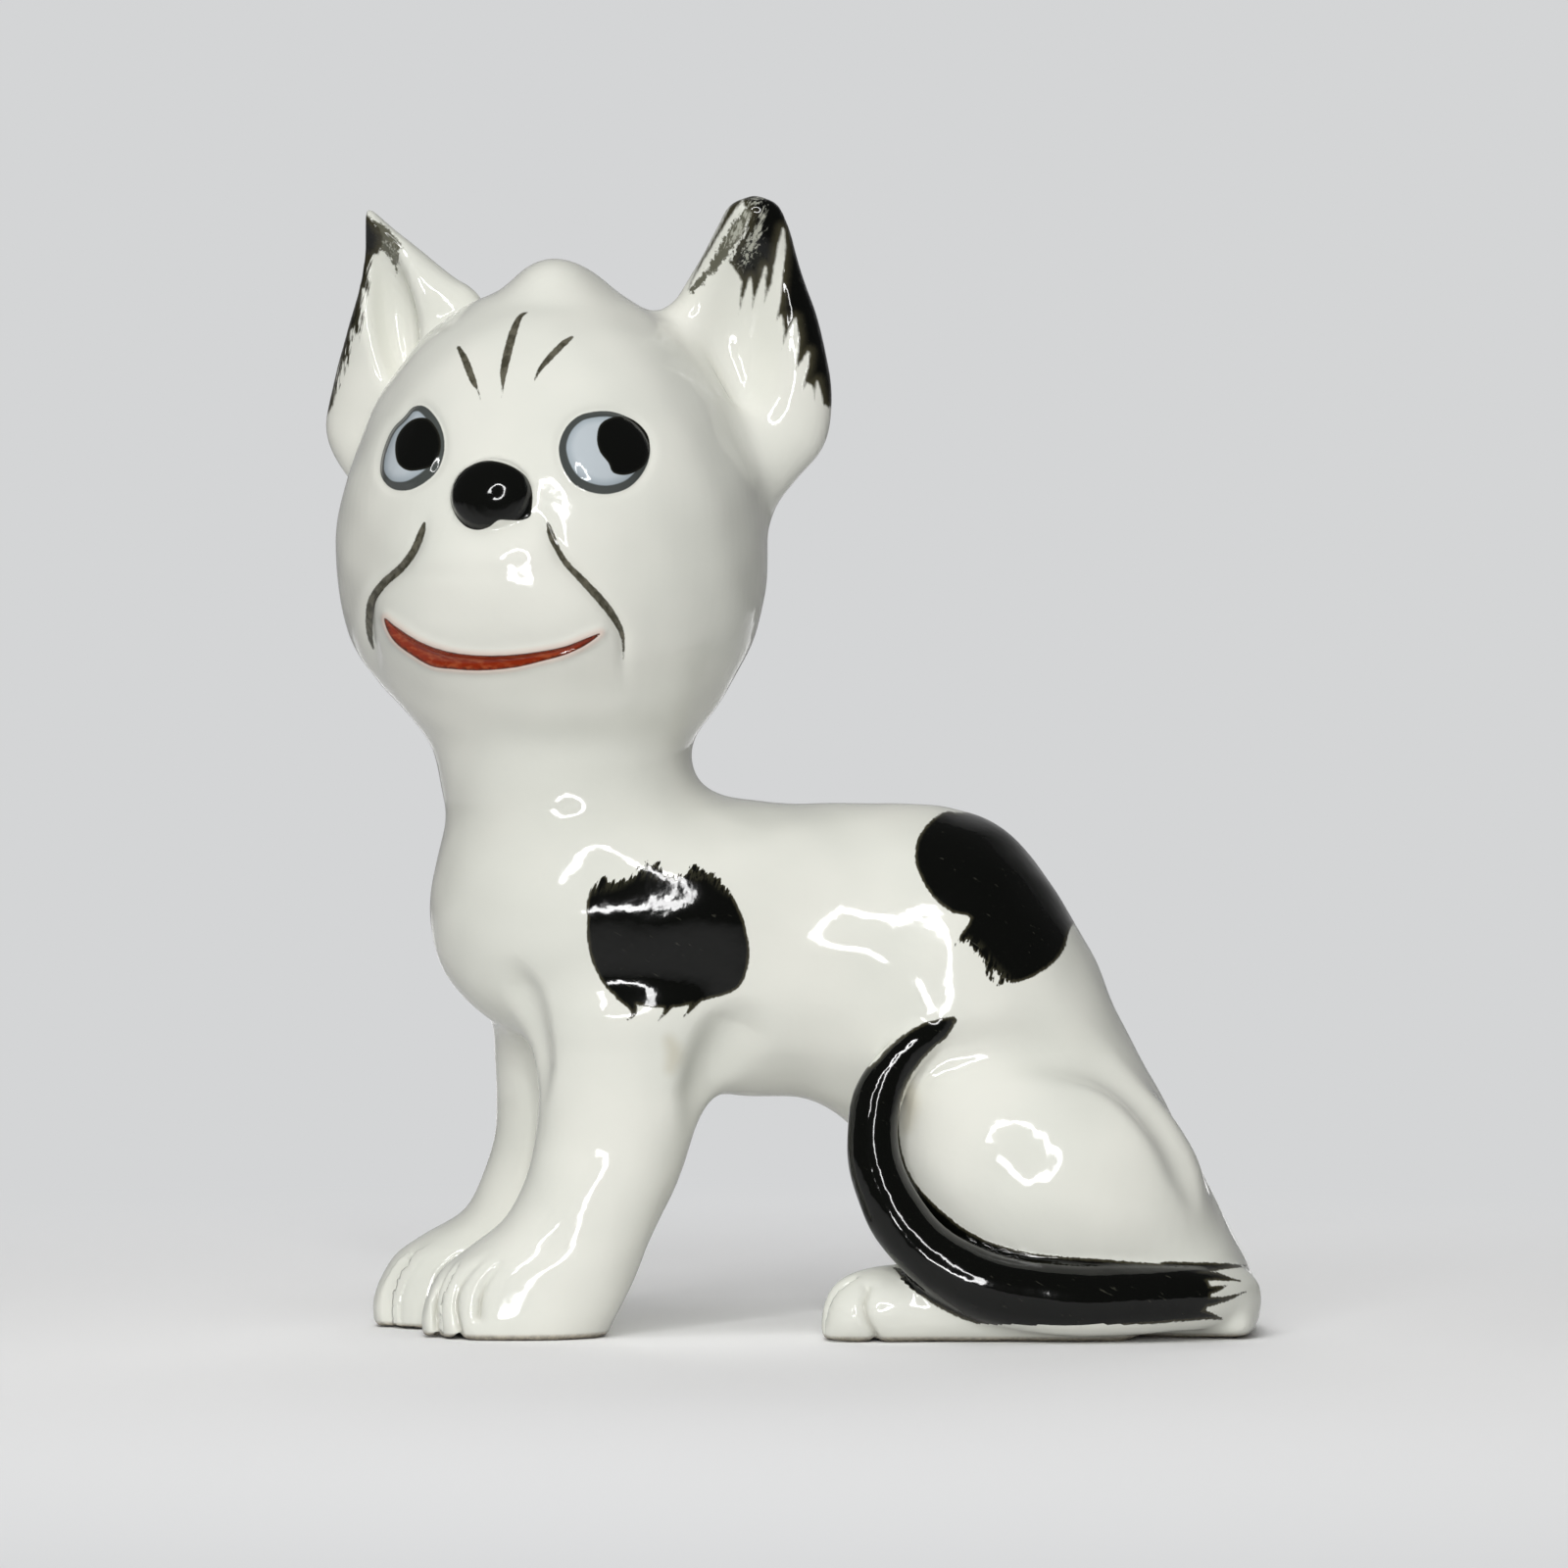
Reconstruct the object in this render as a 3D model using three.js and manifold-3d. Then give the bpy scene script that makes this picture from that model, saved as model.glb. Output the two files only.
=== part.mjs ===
// A seated porcelain cat, 110 mm tall, its head turned to its left.
// Slip-cast shells for head and torso carry solid legs, ears, tail and nose, all luted on with slip.
// Thick enamel is fired on top: eyes, pupils, lips and two black patches.
// Millimetres, +Z up, table at z = 0. The cat faces -X and its left side faces -Y.
import * as THREE from "three";
import { mergeVertices } from "three/addons/utils/BufferGeometryUtils.js";
import Module from "manifold-3d";

const wasm = await Module();
wasm.setup();

// Making
const WALL = 3; // thickness of the cast shells
const JOINT_GAP = 0.3; // slip joint between two pieces
const ENAMEL = 0.45; // thickness of a fired enamel field
const VENT_RADIUS = 3; // hole that lets air out of the hollow casting in the kiln
const VENT_FROM_REAR = 22;

// Torso
const BELLY_HEIGHT = 22.4; // table to belly, under the arch
const BARREL_DEPTH = 28.7; // belly to back
const NECK_RISE = 5.4; // back to the joint under the chin
const BODY_LENGTH = 80.2; // chest to rump
const RUMP_REAR = 45.2; // datum to the rump's rearmost point
const NECK_WIDTH = 24.2;
const NECK_DEPTH = 21;
const NECK_SETBACK = 0.8; // chest to the front of the neck
const NECK_OVERRUN = 7; // how far the neck is drawn past its joint before it is cut there
const BARREL_WIDTH = 27;
const RUMP_WIDTH = 28;
const SEAT_SINK = 1; // how far the castings reach below the table before their feet are ground flat

// Head, in a frame of its own that turns with the face
const HEAD_TURN = 15.2; // degrees, from looking straight out over the left flank towards the chest
const HEAD_FORWARD = 1.1; // middle of the head ahead of the middle of the neck
const HEAD_WIDTH = 41.6; // across the cheeks
const HEAD_THICKNESS = 39; // brow to nape
const HEAD_HEIGHT = 45.4; // neck joint to the top of the skull
const TUFT_RADIUS = 5.8;
const TUFT_HEIGHT = 2.2; // above the skull
const MUZZLE_WIDTH = 27;
const MUZZLE_HEIGHT = 24;
const MUZZLE_STANDOUT = 1.6;
const MUZZLE_RISE = 11.5; // neck joint to the middle of the muzzle
const NOSE_WIDTH = 7.9;
const NOSE_HEIGHT = 6.7;
const NOSE_STANDOUT = 2.4;
const NOSE_RISE = 23.9; // neck joint to the middle of the nose
const EYE_WIDTH = 9.1;
const EYE_HEIGHT = 8.6;
const EYE_STANDOUT = 1.2;
const EYE_RISE = 28.2;
const EYE_ANGLE = 30.3; // degrees either side of the nose
const PUPIL_SIZE = 5.6;
const PUPIL_STANDOUT = 0.8;
const PUPIL_GLANCE = 4; // degrees, both eyes looking to the cat's left
const EAR_HEIGHT = 28.6;
const EAR_WIDTH = 15;
const EAR_THICKNESS = 7;
const EAR_SEAT = 5.5; // how deep an ear's root sits inside the line of the cheek
const EAR_SETBACK = 5; // behind the middle of the head
const EAR_WALL = 2.4; // porcelain left behind the scoop in an ear's front
const EAR_LEAN = 2.2; // how far forward of its root an ear's tip is
const MOUTH_WIDTH = 21.4;
const MOUTH_RISE = 12.7; // neck joint to the corners of the mouth
const MOUTH_SAG = 4.2;
const LIP_HEIGHT = 2;
const LIP_THICKNESS = 0.9;

// Legs, haunches and tail
const LEG_WIDTH = 15.6; // front leg at mid height, seen from the side
const LEG_THICKNESS = 11.4;
const SHIN_SETBACK = 10.7; // chest to the front of the shin
const PAW_LENGTH = 17.5;
const PAW_THICKNESS = 13.2;
const LEG_STAGGER = 4.5; // how far the right paw is ahead of the left
const TOE_GROOVE = 0.9;
const HAUNCH_LENGTH = 30;
const HAUNCH_HEIGHT = 23.5;
const HAUNCH_BULGE = 3.6; // beyond the rump's side
const HAUNCH_REACH = 20.6; // rump's rear to the middle of the haunch
const FOOT_HEIGHT = 7;
const FOOT_THICKNESS = 10.6;
const FOOT_LENGTH = 30;
const TOE_REACH = 41.9; // rump's rear to the tips of the hind toes
const TAIL_RADIUS = 3.4; // at its thickest
const TAIL_LIFT = 0.7; // table to the tail's underside
const TAIL_TIP_RADIUS = 1.2;
const TAIL_REACH = 37.5; // rump's rear to the tail's rising part
const TAIL_RISE = 26.2; // middle of the tail on the table to its tip
const TAIL_WRAP = 13.5; // how far the tail's root comes in behind the rump
const TAIL_TUCK = 3.1; // how far its tip leans in on the flank
const SHOULDER_PATCH_LENGTH = 16.4;
const SHOULDER_PATCH_HEIGHT = 14.8;
const RUMP_DAB = 10.4; // length of one dab of the rump's patch

const backHeight = BELLY_HEIGHT + BARREL_DEPTH;
const neckTop = backHeight + NECK_RISE;
const chestFront = RUMP_REAR - BODY_LENGTH;
const neckFront = chestFront + NECK_SETBACK;
const neckBack = neckFront + NECK_WIDTH;
const neckMiddle = (neckFront + neckBack) / 2;
const EVERYTHING = 400; // size of a cutting block that outreaches the whole cat

const vec = (x, y, z) => new THREE.Vector3(x, y, z);

// Surfaces

// Smooth run through rows of numbers: at(s) gives the row at share s of the way along, 0 to 1.
function smoothRun(rows) {
  const width = rows[0].length;
  const curves = [];
  for (let i = 0; i < width; i += 3) {
    const points = rows.map((row) => vec(row[i], row[i + 1] ?? 0, row[i + 2] ?? 0));
    curves.push(new THREE.CatmullRomCurve3(points, false, "centripetal"));
  }
  return (s) => curves.flatMap((curve) => curve.getPoint(s).toArray()).slice(0, width);
}

// A sphere's grid of vertices laid on the rings that ringAt(s) gives; the end rings close to a point.
function skin(ringAt, sides, rings) {
  const geometry = new THREE.SphereGeometry(1, sides, rings);
  const position = geometry.getAttribute("position");
  const uv = geometry.getAttribute("uv");
  for (let i = 0; i < position.count; i++) {
    const ring = ringAt(1 - uv.getY(i));
    const angle = (uv.getX(i) % 1) * 2 * Math.PI;
    const open = uv.getY(i) > 0 && uv.getY(i) < 1 ? 1 : 0;
    const point = ring.centre.clone().addScaledVector(ring.across, open * Math.cos(angle));
    point.addScaledVector(ring.through, open * Math.sin(angle));
    position.setXYZ(i, point.x, point.y, point.z);
  }
  geometry.deleteAttribute("normal");
  geometry.deleteAttribute("uv");
  return outward(mergeVertices(geometry, 1e-4));
}

function volumeOf(geometry) {
  const p = geometry.getAttribute("position");
  const index = geometry.index.array;
  let six = 0;
  for (let i = 0; i < index.length; i += 3) {
    const [a, b, c] = [0, 1, 2].map((k) => vec(0, 0, 0).fromBufferAttribute(p, index[i + k]));
    six += a.dot(b.cross(c));
  }
  return six / 6;
}

// Turns the faces round if they point inwards.
function outward(geometry) {
  if (volumeOf(geometry) < 0) geometry.index.array.reverse();
  return geometry;
}

// A body drawn by its two outlines in the XZ plane. Each row holds a point on the first outline,
// a point on the second, the half thickness along Y, and Y of the middle.
function slab(rows, sides, rings) {
  const at = smoothRun(rows);
  return skin((s) => {
    const [x1, z1, x2, z2, half, y] = at(s);
    const across = vec((x1 - x2) / 2, 0, (z1 - z2) / 2);
    const through = vec(0, Math.max(half, 0), 0);
    return { centre: vec((x1 + x2) / 2, y, (z1 + z2) / 2), across, through };
  }, sides, rings);
}

// A round rope along a path. Each row holds x, y, z and the radius; both ends are domes.
function rope(rows, sides, rings) {
  const at = smoothRun(rows);
  const step = 1e-3;
  return skin((share) => {
    const s = (1 - Math.cos(share * Math.PI)) / 2;
    const [x, y, z, radius] = at(s);
    const ahead = vec(...at(Math.min(1, s + step)));
    const along = ahead.sub(vec(...at(Math.max(0, s - step)))).normalize();
    const through = vec(0, 1, 0).addScaledVector(along, -along.y).normalize();
    const across = along.clone().cross(through);
    const dome = Math.sqrt(Math.max(0, Math.min(1, Math.min(s, 1 - s) * rows.length)));
    const size = radius * Math.min(1, dome);
    return {
      centre: vec(x, y, z),
      across: across.multiplyScalar(size),
      through: through.multiplyScalar(size),
    };
  }, sides, rings);
}

// An ellipsoid with half sizes rx, ry, rz, turned about Y by tilt degrees and set at a point.
function egg(centre, rx, ry, rz, tilt = 0, sides = 24, rings = 16) {
  const geometry = new THREE.SphereGeometry(1, sides, rings);
  geometry.deleteAttribute("normal");
  geometry.deleteAttribute("uv");
  geometry.scale(rx, ry, rz);
  geometry.rotateY(THREE.MathUtils.degToRad(tilt));
  geometry.translate(centre.x, centre.y, centre.z);
  return mergeVertices(geometry, 1e-4);
}

// The same surface moved out along its normals.
function swollen(geometry, distance) {
  const grown = geometry.clone();
  grown.computeVertexNormals();
  const p = grown.getAttribute("position");
  const n = grown.getAttribute("normal");
  for (let i = 0; i < p.count; i++) {
    p.setXYZ(
      i,
      p.getX(i) + n.getX(i) * distance,
      p.getY(i) + n.getY(i) * distance,
      p.getZ(i) + n.getZ(i) * distance,
    );
  }
  grown.deleteAttribute("normal");
  return grown;
}

// Solids

function solid(geometry) {
  const merged = mergeVertices(geometry, 1e-4);
  const vertProperties = new Float32Array(merged.getAttribute("position").array);
  const triVerts = new Uint32Array(merged.index.array);
  return new wasm.Manifold(new wasm.Mesh({ numProp: 3, vertProperties, triVerts }));
}

function block(width, depth, height, x, y, z) {
  const geometry = new THREE.BoxGeometry(width, depth, height);
  geometry.deleteAttribute("normal");
  geometry.deleteAttribute("uv");
  geometry.translate(x, y, z);
  return solid(geometry);
}

const below = (z) => block(EVERYTHING, EVERYTHING, EVERYTHING, 0, 0, z - EVERYTHING / 2);
const above = (z) => block(EVERYTHING, EVERYTHING, EVERYTHING, 0, 0, z + EVERYTHING / 2);
const table = below(0);

function materialOf(color, roughness = 0.12) {
  return new THREE.MeshStandardMaterial({ color, roughness, metalness: 0 });
}

const white = materialOf(0xdedfd9);
const black = materialOf(0x12130f, 0.08);
const eyeWhite = materialOf(0xc9d0dc, 0.08);
const red = materialOf(0x9c2410, 0.15);

function node(name, manifold, material) {
  const cut = manifold.getMesh();
  const geometry = new THREE.BufferGeometry();
  geometry.setAttribute("position", new THREE.BufferAttribute(cut.vertProperties, cut.numProp));
  geometry.setIndex(new THREE.BufferAttribute(cut.triVerts, 1));
  const mesh = new THREE.Mesh(geometry, material);
  mesh.name = name;
  return mesh;
}

// Torso: back outline and belly outline from the neck round to the rump

const neckHalf = NECK_DEPTH / 2;
const barrelHalf = BARREL_WIDTH / 2;
const rumpHalf = RUMP_WIDTH / 2;
const chest = (along, down) => [chestFront + BODY_LENGTH * along, backHeight - BARREL_DEPTH * down];
const shoulder = (along, up) => [neckBack + BODY_LENGTH * along, backHeight + NECK_RISE * up];
const rump = (ahead, z) => [RUMP_REAR - BODY_LENGTH * ahead, z];
const loin = (ahead, down) => rump(ahead, backHeight - BARREL_DEPTH * down);
const neckEnd = neckTop + NECK_OVERRUN;
const torsoRows = [
  [neckBack - NECK_WIDTH * 0.04, neckEnd, neckFront + NECK_WIDTH * 0.04, neckEnd, 0, 0],
  [neckBack, neckEnd - 2, neckFront, neckEnd - 2, neckHalf, 0],
  [neckBack, neckTop, neckFront, neckTop, neckHalf, 0],
  [...shoulder(0.0175, 0.41), ...chest(0.0125, -0.007), neckHalf * 1.065, 0],
  [...shoulder(0.05, 0.13), ...chest(0.0025, 0.195), barrelHalf * 0.91, 0],
  [...shoulder(0.0885, 0.04), ...chest(0, 0.38), barrelHalf * 0.985, 0],
  [...shoulder(0.128, 0), ...chest(0.019, 0.578), barrelHalf * 1.02, 0],
  [...shoulder(0.168, 0), ...chest(0.087, 0.753), barrelHalf * 1.02, 0],
  [...shoulder(0.218, 0), ...chest(0.224, 0.882), barrelHalf, 0],
  [...loin(0.42, 0.0035), ...chest(0.362, 0.979), barrelHalf * 0.965, 0],
  [...loin(0.37, 0.0175), ...chest(0.455, 1), barrelHalf * 0.965, 0],
  [...loin(0.314, 0.094), ...rump(0.476, BELLY_HEIGHT * 0.826), rumpHalf * 0.955, 0],
  [...rump(0.252, backHeight * 0.852), ...rump(0.451, BELLY_HEIGHT * 0.54), rumpHalf * 0.985, 0],
  [...rump(0.2045, backHeight * 0.725), ...rump(0.43, BELLY_HEIGHT * 0.24), rumpHalf, 0],
  [...rump(0.1645, backHeight * 0.588), ...rump(0.3865, BELLY_HEIGHT * 0.04), rumpHalf, 0],
  [...rump(0.121, backHeight * 0.46), ...rump(0.324, -SEAT_SINK / 2), rumpHalf, 0],
  [...rump(0.0785, backHeight * 0.333), ...rump(0.249, -SEAT_SINK), rumpHalf, 0],
  [...rump(0.04, backHeight * 0.215), ...rump(0.168, -SEAT_SINK), rumpHalf * 0.97, 0],
  [...rump(0.01, backHeight * 0.11), ...rump(0.0935, -SEAT_SINK), rumpHalf * 0.9, 0],
  [...rump(0, backHeight * 0.045), ...rump(0.0375, -SEAT_SINK), rumpHalf * 0.75, 0],
  [...rump(0.0175, -SEAT_SINK), ...rump(0.0175, -SEAT_SINK), 0, 0],
];
const torsoSkin = slab(torsoRows, 24, 32);
const torsoClear = solid(swollen(torsoSkin, JOINT_GAP));

// The hollow follows the outlines a wall's thickness inside them.
function hollowRows(rows, wall) {
  return rows.map(([x1, z1, x2, z2, half, y]) => {
    const middle = vec((x1 + x2) / 2, 0, (z1 + z2) / 2);
    const toFirst = vec(x1, 0, z1).sub(middle);
    const left = Math.max(0.1, toFirst.length() - wall);
    toFirst.setLength(left);
    const first = middle.clone().add(toFirst);
    const second = middle.clone().sub(toFirst);
    return [first.x, first.z, second.x, second.z, Math.max(0.1, half - wall), y];
  });
}
const torsoHollow = solid(slab(hollowRows(torsoRows.slice(1, -5), WALL), 12, 15)).subtract(below(WALL));

const ventX = RUMP_REAR - VENT_FROM_REAR;
const ventCutter = new THREE.CylinderGeometry(VENT_RADIUS, VENT_RADIUS, 4 * WALL, 12);
ventCutter.deleteAttribute("normal");
ventCutter.deleteAttribute("uv");
ventCutter.rotateX(Math.PI / 2);
ventCutter.translate(ventX, 0, WALL);

const torso = solid(torsoSkin)
  .subtract(above(neckTop - JOINT_GAP / 2))
  .subtract(torsoHollow)
  .subtract(solid(ventCutter))
  .subtract(table);

// Front legs

const legTop = BELLY_HEIGHT + 9;
const legHalf = LEG_THICKNESS / 2;
const pawHalf = PAW_THICKNESS / 2;
const legSpread = pawHalf + JOINT_GAP / 2;
const pawFront = chestFront - 0.5;
const shinFront = chestFront + SHIN_SETBACK;

// side is -1 for the cat's left leg and 1 for its right, which stands a little ahead.
function legRows(side) {
  const ahead = side > 0 ? -LEG_STAGGER : 0;
  const y = side * legSpread;
  const rear = (dx, share) => [shinFront + LEG_WIDTH + dx + ahead, legTop * share];
  const front = (dx, share) => [shinFront + dx + ahead, legTop * share];
  const toe = (dx, share) => [pawFront + dx + ahead, legTop * share];
  const heel = (dx, share) => [pawFront + PAW_LENGTH + dx + ahead, legTop * share];
  return [
    [...rear(-2, 1.1), ...front(5, 1.1), 0, y],
    [...rear(1.8, 1), ...front(0.9, 1), legHalf + 0.4, y],
    [...rear(1.5, 0.86), ...front(0, 0.86), legHalf + 0.3, y],
    [...rear(0.3, 0.72), ...front(0, 0.72), legHalf, y],
    [...rear(-1.1, 0.585), ...front(-0.4, 0.585), legHalf - 0.2, y],
    [...rear(-2.5, 0.46), ...front(-1.5, 0.46), legHalf - 0.2, y],
    [...rear(-3.6, 0.36), ...front(-3.3, 0.36), legHalf, y],
    [...heel(5, 0.285), ...toe(5.1, 0.285), pawHalf - 0.6, y],
    [...heel(4.4, 0.22), ...toe(2.1, 0.22), pawHalf - 0.1, y],
    [...heel(3.6, 0.16), ...toe(0.8, 0.16), pawHalf, y],
    [...heel(2.3, 0.1), ...toe(0.1, 0.1), pawHalf, y],
    [...heel(0.6, 0.04), ...toe(0, 0.04), pawHalf, y],
    [...heel(-1, -0.02), ...toe(0.6, -0.02), pawHalf - 0.4, y],
    [...heel(-8, -0.04), ...heel(-8, -0.04), 0, y],
  ];
}

// Thin leaf-shaped cutters that part the toes at a paw's front.
function toeCutters(x, y, z, count, pitch, tilt) {
  const cutters = [];
  for (let i = 0; i < count; i++) {
    const across = y + (i - (count - 1) / 2) * pitch;
    cutters.push(solid(egg(vec(x, across, z), 1.9, TOE_GROOVE / 2, 5, tilt, 10, 8)));
  }
  return cutters;
}

function frontLeg(side) {
  const ahead = side > 0 ? -LEG_STAGGER : 0;
  let leg = solid(slab(legRows(side), 14, 16));
  const grooves = toeCutters(pawFront + 1 + ahead, side * legSpread, 2.6, 3, PAW_THICKNESS / 4, 28);
  for (const cutter of grooves) leg = leg.subtract(cutter);
  return leg.subtract(torsoClear).subtract(table);
}

// Hind legs: the haunch on the rump's side, and the foot that shows in front of it

const haunchHalf = HAUNCH_BULGE + 5.5;
const haunchOut = rumpHalf + HAUNCH_BULGE;
const haunchX = RUMP_REAR - HAUNCH_REACH;
const haunchZ = HAUNCH_HEIGHT / 2 + 3.6;
const HAUNCH_TILT = 22;
const footToe = RUMP_REAR - TOE_REACH;
const footY = haunchOut - FOOT_THICKNESS / 2 - 1.2;

function footRows(side) {
  const y = side * footY;
  const half = FOOT_THICKNESS / 2;
  const row = (dx, height, share) => [footToe + dx, height, footToe + dx, -SEAT_SINK, half * share, y];
  return [
    [footToe, 1, footToe, 1, 0, y],
    row(0.4, FOOT_HEIGHT * 0.46, 0.45),
    row(1.4, FOOT_HEIGHT * 0.71, 0.73),
    row(2.8, FOOT_HEIGHT * 0.89, 0.91),
    row(4.8, FOOT_HEIGHT * 0.99, 1),
    row(9, FOOT_HEIGHT * 1.05, 1),
    row(FOOT_LENGTH / 2, FOOT_HEIGHT * 1.07, 1),
    row(FOOT_LENGTH - 4, FOOT_HEIGHT, 0.9),
    row(FOOT_LENGTH - 1, FOOT_HEIGHT * 0.7, 0.5),
    [footToe + FOOT_LENGTH, 1, footToe + FOOT_LENGTH, 1, 0, y],
  ];
}

function haunchSkin(side) {
  const centre = vec(haunchX, side * (haunchOut - haunchHalf), haunchZ);
  return egg(centre, HAUNCH_LENGTH / 2, haunchHalf, HAUNCH_HEIGHT / 2, HAUNCH_TILT, 18, 12);
}

function hindLeg(side) {
  const grooves = toeCutters(footToe + 0.6, side * footY, 2.2, 2, FOOT_THICKNESS / 3, 18);
  let foot = solid(slab(footRows(side), 12, 12));
  for (const cutter of grooves) foot = foot.subtract(cutter);
  return solid(haunchSkin(side)).add(foot).subtract(torsoClear).subtract(table);
}

// Tail: from the rump's rear round the left haunch, along the table and up

const tailY = -(haunchOut - 1.6);
const tailBottom = TAIL_LIFT + TAIL_RADIUS;
const tailPoint = (reach, inward, rise, size) => [
  RUMP_REAR - TAIL_REACH * reach,
  tailY + inward,
  tailBottom + TAIL_RISE * rise,
  TAIL_RADIUS * size,
];
const tailRows = [
  tailPoint(0.053, TAIL_WRAP, 0, 0.74),
  tailPoint(0.08, TAIL_WRAP * 0.56, 0, 0.8),
  tailPoint(0.184, TAIL_WRAP * 0.21, 0, 0.88),
  tailPoint(0.325, TAIL_WRAP * 0.07, 0, 0.96),
  tailPoint(0.485, TAIL_WRAP * 0.01, 0.004, 1),
  tailPoint(0.645, 0, 0.023, 1),
  tailPoint(0.784, 0, 0.092, 0.95),
  tailPoint(0.888, TAIL_TUCK * 0.1, 0.206, 0.87),
  tailPoint(0.963, TAIL_TUCK * 0.29, 0.359, 0.79),
  tailPoint(1, TAIL_TUCK * 0.48, 0.523, 0.74),
  tailPoint(0.995, TAIL_TUCK * 0.65, 0.683, 0.7),
  tailPoint(0.949, TAIL_TUCK * 0.81, 0.828, 0.63),
  tailPoint(0.88, TAIL_TUCK * 0.94, 0.931, (1 + TAIL_TIP_RADIUS / TAIL_RADIUS) * 0.38),
  tailPoint(0.795, TAIL_TUCK, 1, TAIL_TIP_RADIUS / TAIL_RADIUS),
];
const tail = solid(rope(tailRows, 10, 26))
  .subtract(torsoClear)
  .subtract(solid(swollen(haunchSkin(-1), JOINT_GAP)))
  .subtract(solid(swollen(slab(footRows(-1), 12, 12), JOINT_GAP)))
  .subtract(table);

// Enamel fields on the torso: the body's own surface raised by a film, inside an outline

const film = solid(swollen(torsoSkin, JOINT_GAP + ENAMEL)).subtract(torsoClear);
const legSkins = [-1, 1].map((side) => solid(swollen(slab(legRows(side), 14, 16), JOINT_GAP)));

function patch(...outlines) {
  let field = solid(outlines[0]);
  for (const outline of outlines.slice(1)) field = field.add(solid(outline));
  field = field.intersect(film);
  for (const leg of legSkins) field = field.subtract(leg);
  return field;
}
const shoulderX = chestFront + BODY_LENGTH * 0.287;
const shoulderZ = BELLY_HEIGHT + BARREL_DEPTH * 0.564;
const shoulderField = [SHOULDER_PATCH_LENGTH / 2, barrelHalf * 0.45, SHOULDER_PATCH_HEIGHT / 2];
const shoulderPatch = patch(egg(vec(shoulderX, -barrelHalf, shoulderZ), ...shoulderField, 0, 18, 8));

// The rump's patch is two dabs that run into each other over the ridge.
const dab = (ahead, aside, down, length, height, tilt) => {
  const [x, z] = loin(ahead, down);
  const centre = vec(x, -rumpHalf * aside, z);
  return egg(centre, length / 2, rumpHalf * 0.86, height / 2, tilt, 14, 8);
};
const rumpPatch = patch(
  dab(0.352, 0.5, 0.195, RUMP_DAB, RUMP_DAB * 1.08, 0),
  dab(0.282, 0.43, 0.383, RUMP_DAB * 0.94, RUMP_DAB * 1.2, -30),
);

// Head: outlines of the right and left cheek from the neck up to the crown

const cheek = HEAD_WIDTH / 2;
const brow = HEAD_THICKNESS / 2;
const neckX = HEAD_FORWARD * Math.cos(THREE.MathUtils.degToRad(HEAD_TURN));
const neckY = HEAD_FORWARD * Math.sin(THREE.MathUtils.degToRad(HEAD_TURN));
const headRow = (z, wide, deep, overNeck = 0) => {
  const height = neckTop + z * HEAD_HEIGHT;
  const x = neckX * overNeck;
  return [x + cheek * wide, height, x - cheek * wide, height, brow * deep, neckY * overNeck];
};
const chinWide = NECK_WIDTH / HEAD_WIDTH;
const chinDeep = NECK_DEPTH / HEAD_THICKNESS;
const headRows = [
  headRow(-0.08, 0, 0, 1),
  headRow(-0.05, chinWide, chinDeep, 1),
  headRow(0, chinWide * 1.02, chinDeep * 1.02, 1),
  headRow(0.065, 0.69, 0.68, 0.7),
  headRow(0.13, 0.8, 0.79, 0.35),
  headRow(0.235, 0.94, 0.91),
  headRow(0.36, 1, 0.985),
  headRow(0.465, 1, 1),
  headRow(0.55, 0.975, 0.985),
  headRow(0.655, 0.89, 0.905),
  headRow(0.76, 0.79, 0.8),
  headRow(0.865, 0.64, 0.64),
  headRow(0.932, 0.49, 0.49),
  headRow(0.968, 0.37, 0.37),
  headRow(0.992, 0.21, 0.21),
  headRow(1, 0, 0),
];
const headAt = smoothRun(headRows);
const skullTop = neckTop + HEAD_HEIGHT;

// The muzzle swells forwards and the tuft upwards from the plain skull.
function swell(point) {
  const up = (point.z - neckTop - MUZZLE_RISE) / (MUZZLE_HEIGHT / 2);
  const muzzle = Math.exp(-(((point.x / (MUZZLE_WIDTH / 2)) ** 2 + up ** 2) ** 2));
  if (point.y < 0) point.y -= MUZZLE_STANDOUT * muzzle;
  const tuft = Math.exp(-(((point.x ** 2 + point.y ** 2) / TUFT_RADIUS ** 2) ** 2));
  if (point.z > skullTop - TUFT_RADIUS) point.z += TUFT_HEIGHT * tuft;
  return point;
}

function swelled(geometry) {
  const p = geometry.getAttribute("position");
  for (let i = 0; i < p.count; i++) {
    const point = swell(vec(p.getX(i), p.getY(i), p.getZ(i)));
    p.setXYZ(i, point.x, point.y, point.z);
  }
  return geometry;
}
const headSkin = swelled(slab(headRows, 26, 24));

// Half width and half thickness of the plain skull at a height above the neck joint.
function headSize(height) {
  let low = 0;
  let high = 1;
  while (high - low > 1e-5) {
    const middle = (low + high) / 2;
    if (headAt(middle)[1] < neckTop + height) low = middle;
    else high = middle;
  }
  const [right, , left, , deep] = headAt(low);
  return { wide: (right - left) / 2, deep };
}

// The point of the face at an angle from the nose, positive to the cat's left.
function onFace(angle, height) {
  const { wide, deep } = headSize(height);
  const turn = THREE.MathUtils.degToRad(angle);
  return swell(vec(wide * Math.sin(turn), -deep * Math.cos(turn), neckTop + height));
}

// Directions on the face there: aside, out and up.
function faceAxes(angle, height) {
  const aside = onFace(angle + 1, height).sub(onFace(angle - 1, height)).normalize();
  const slope = onFace(angle, height + 0.5).sub(onFace(angle, height - 0.5));
  const out = aside.clone().cross(slope).normalize();
  return { aside, out, up: out.clone().cross(aside) };
}

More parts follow.
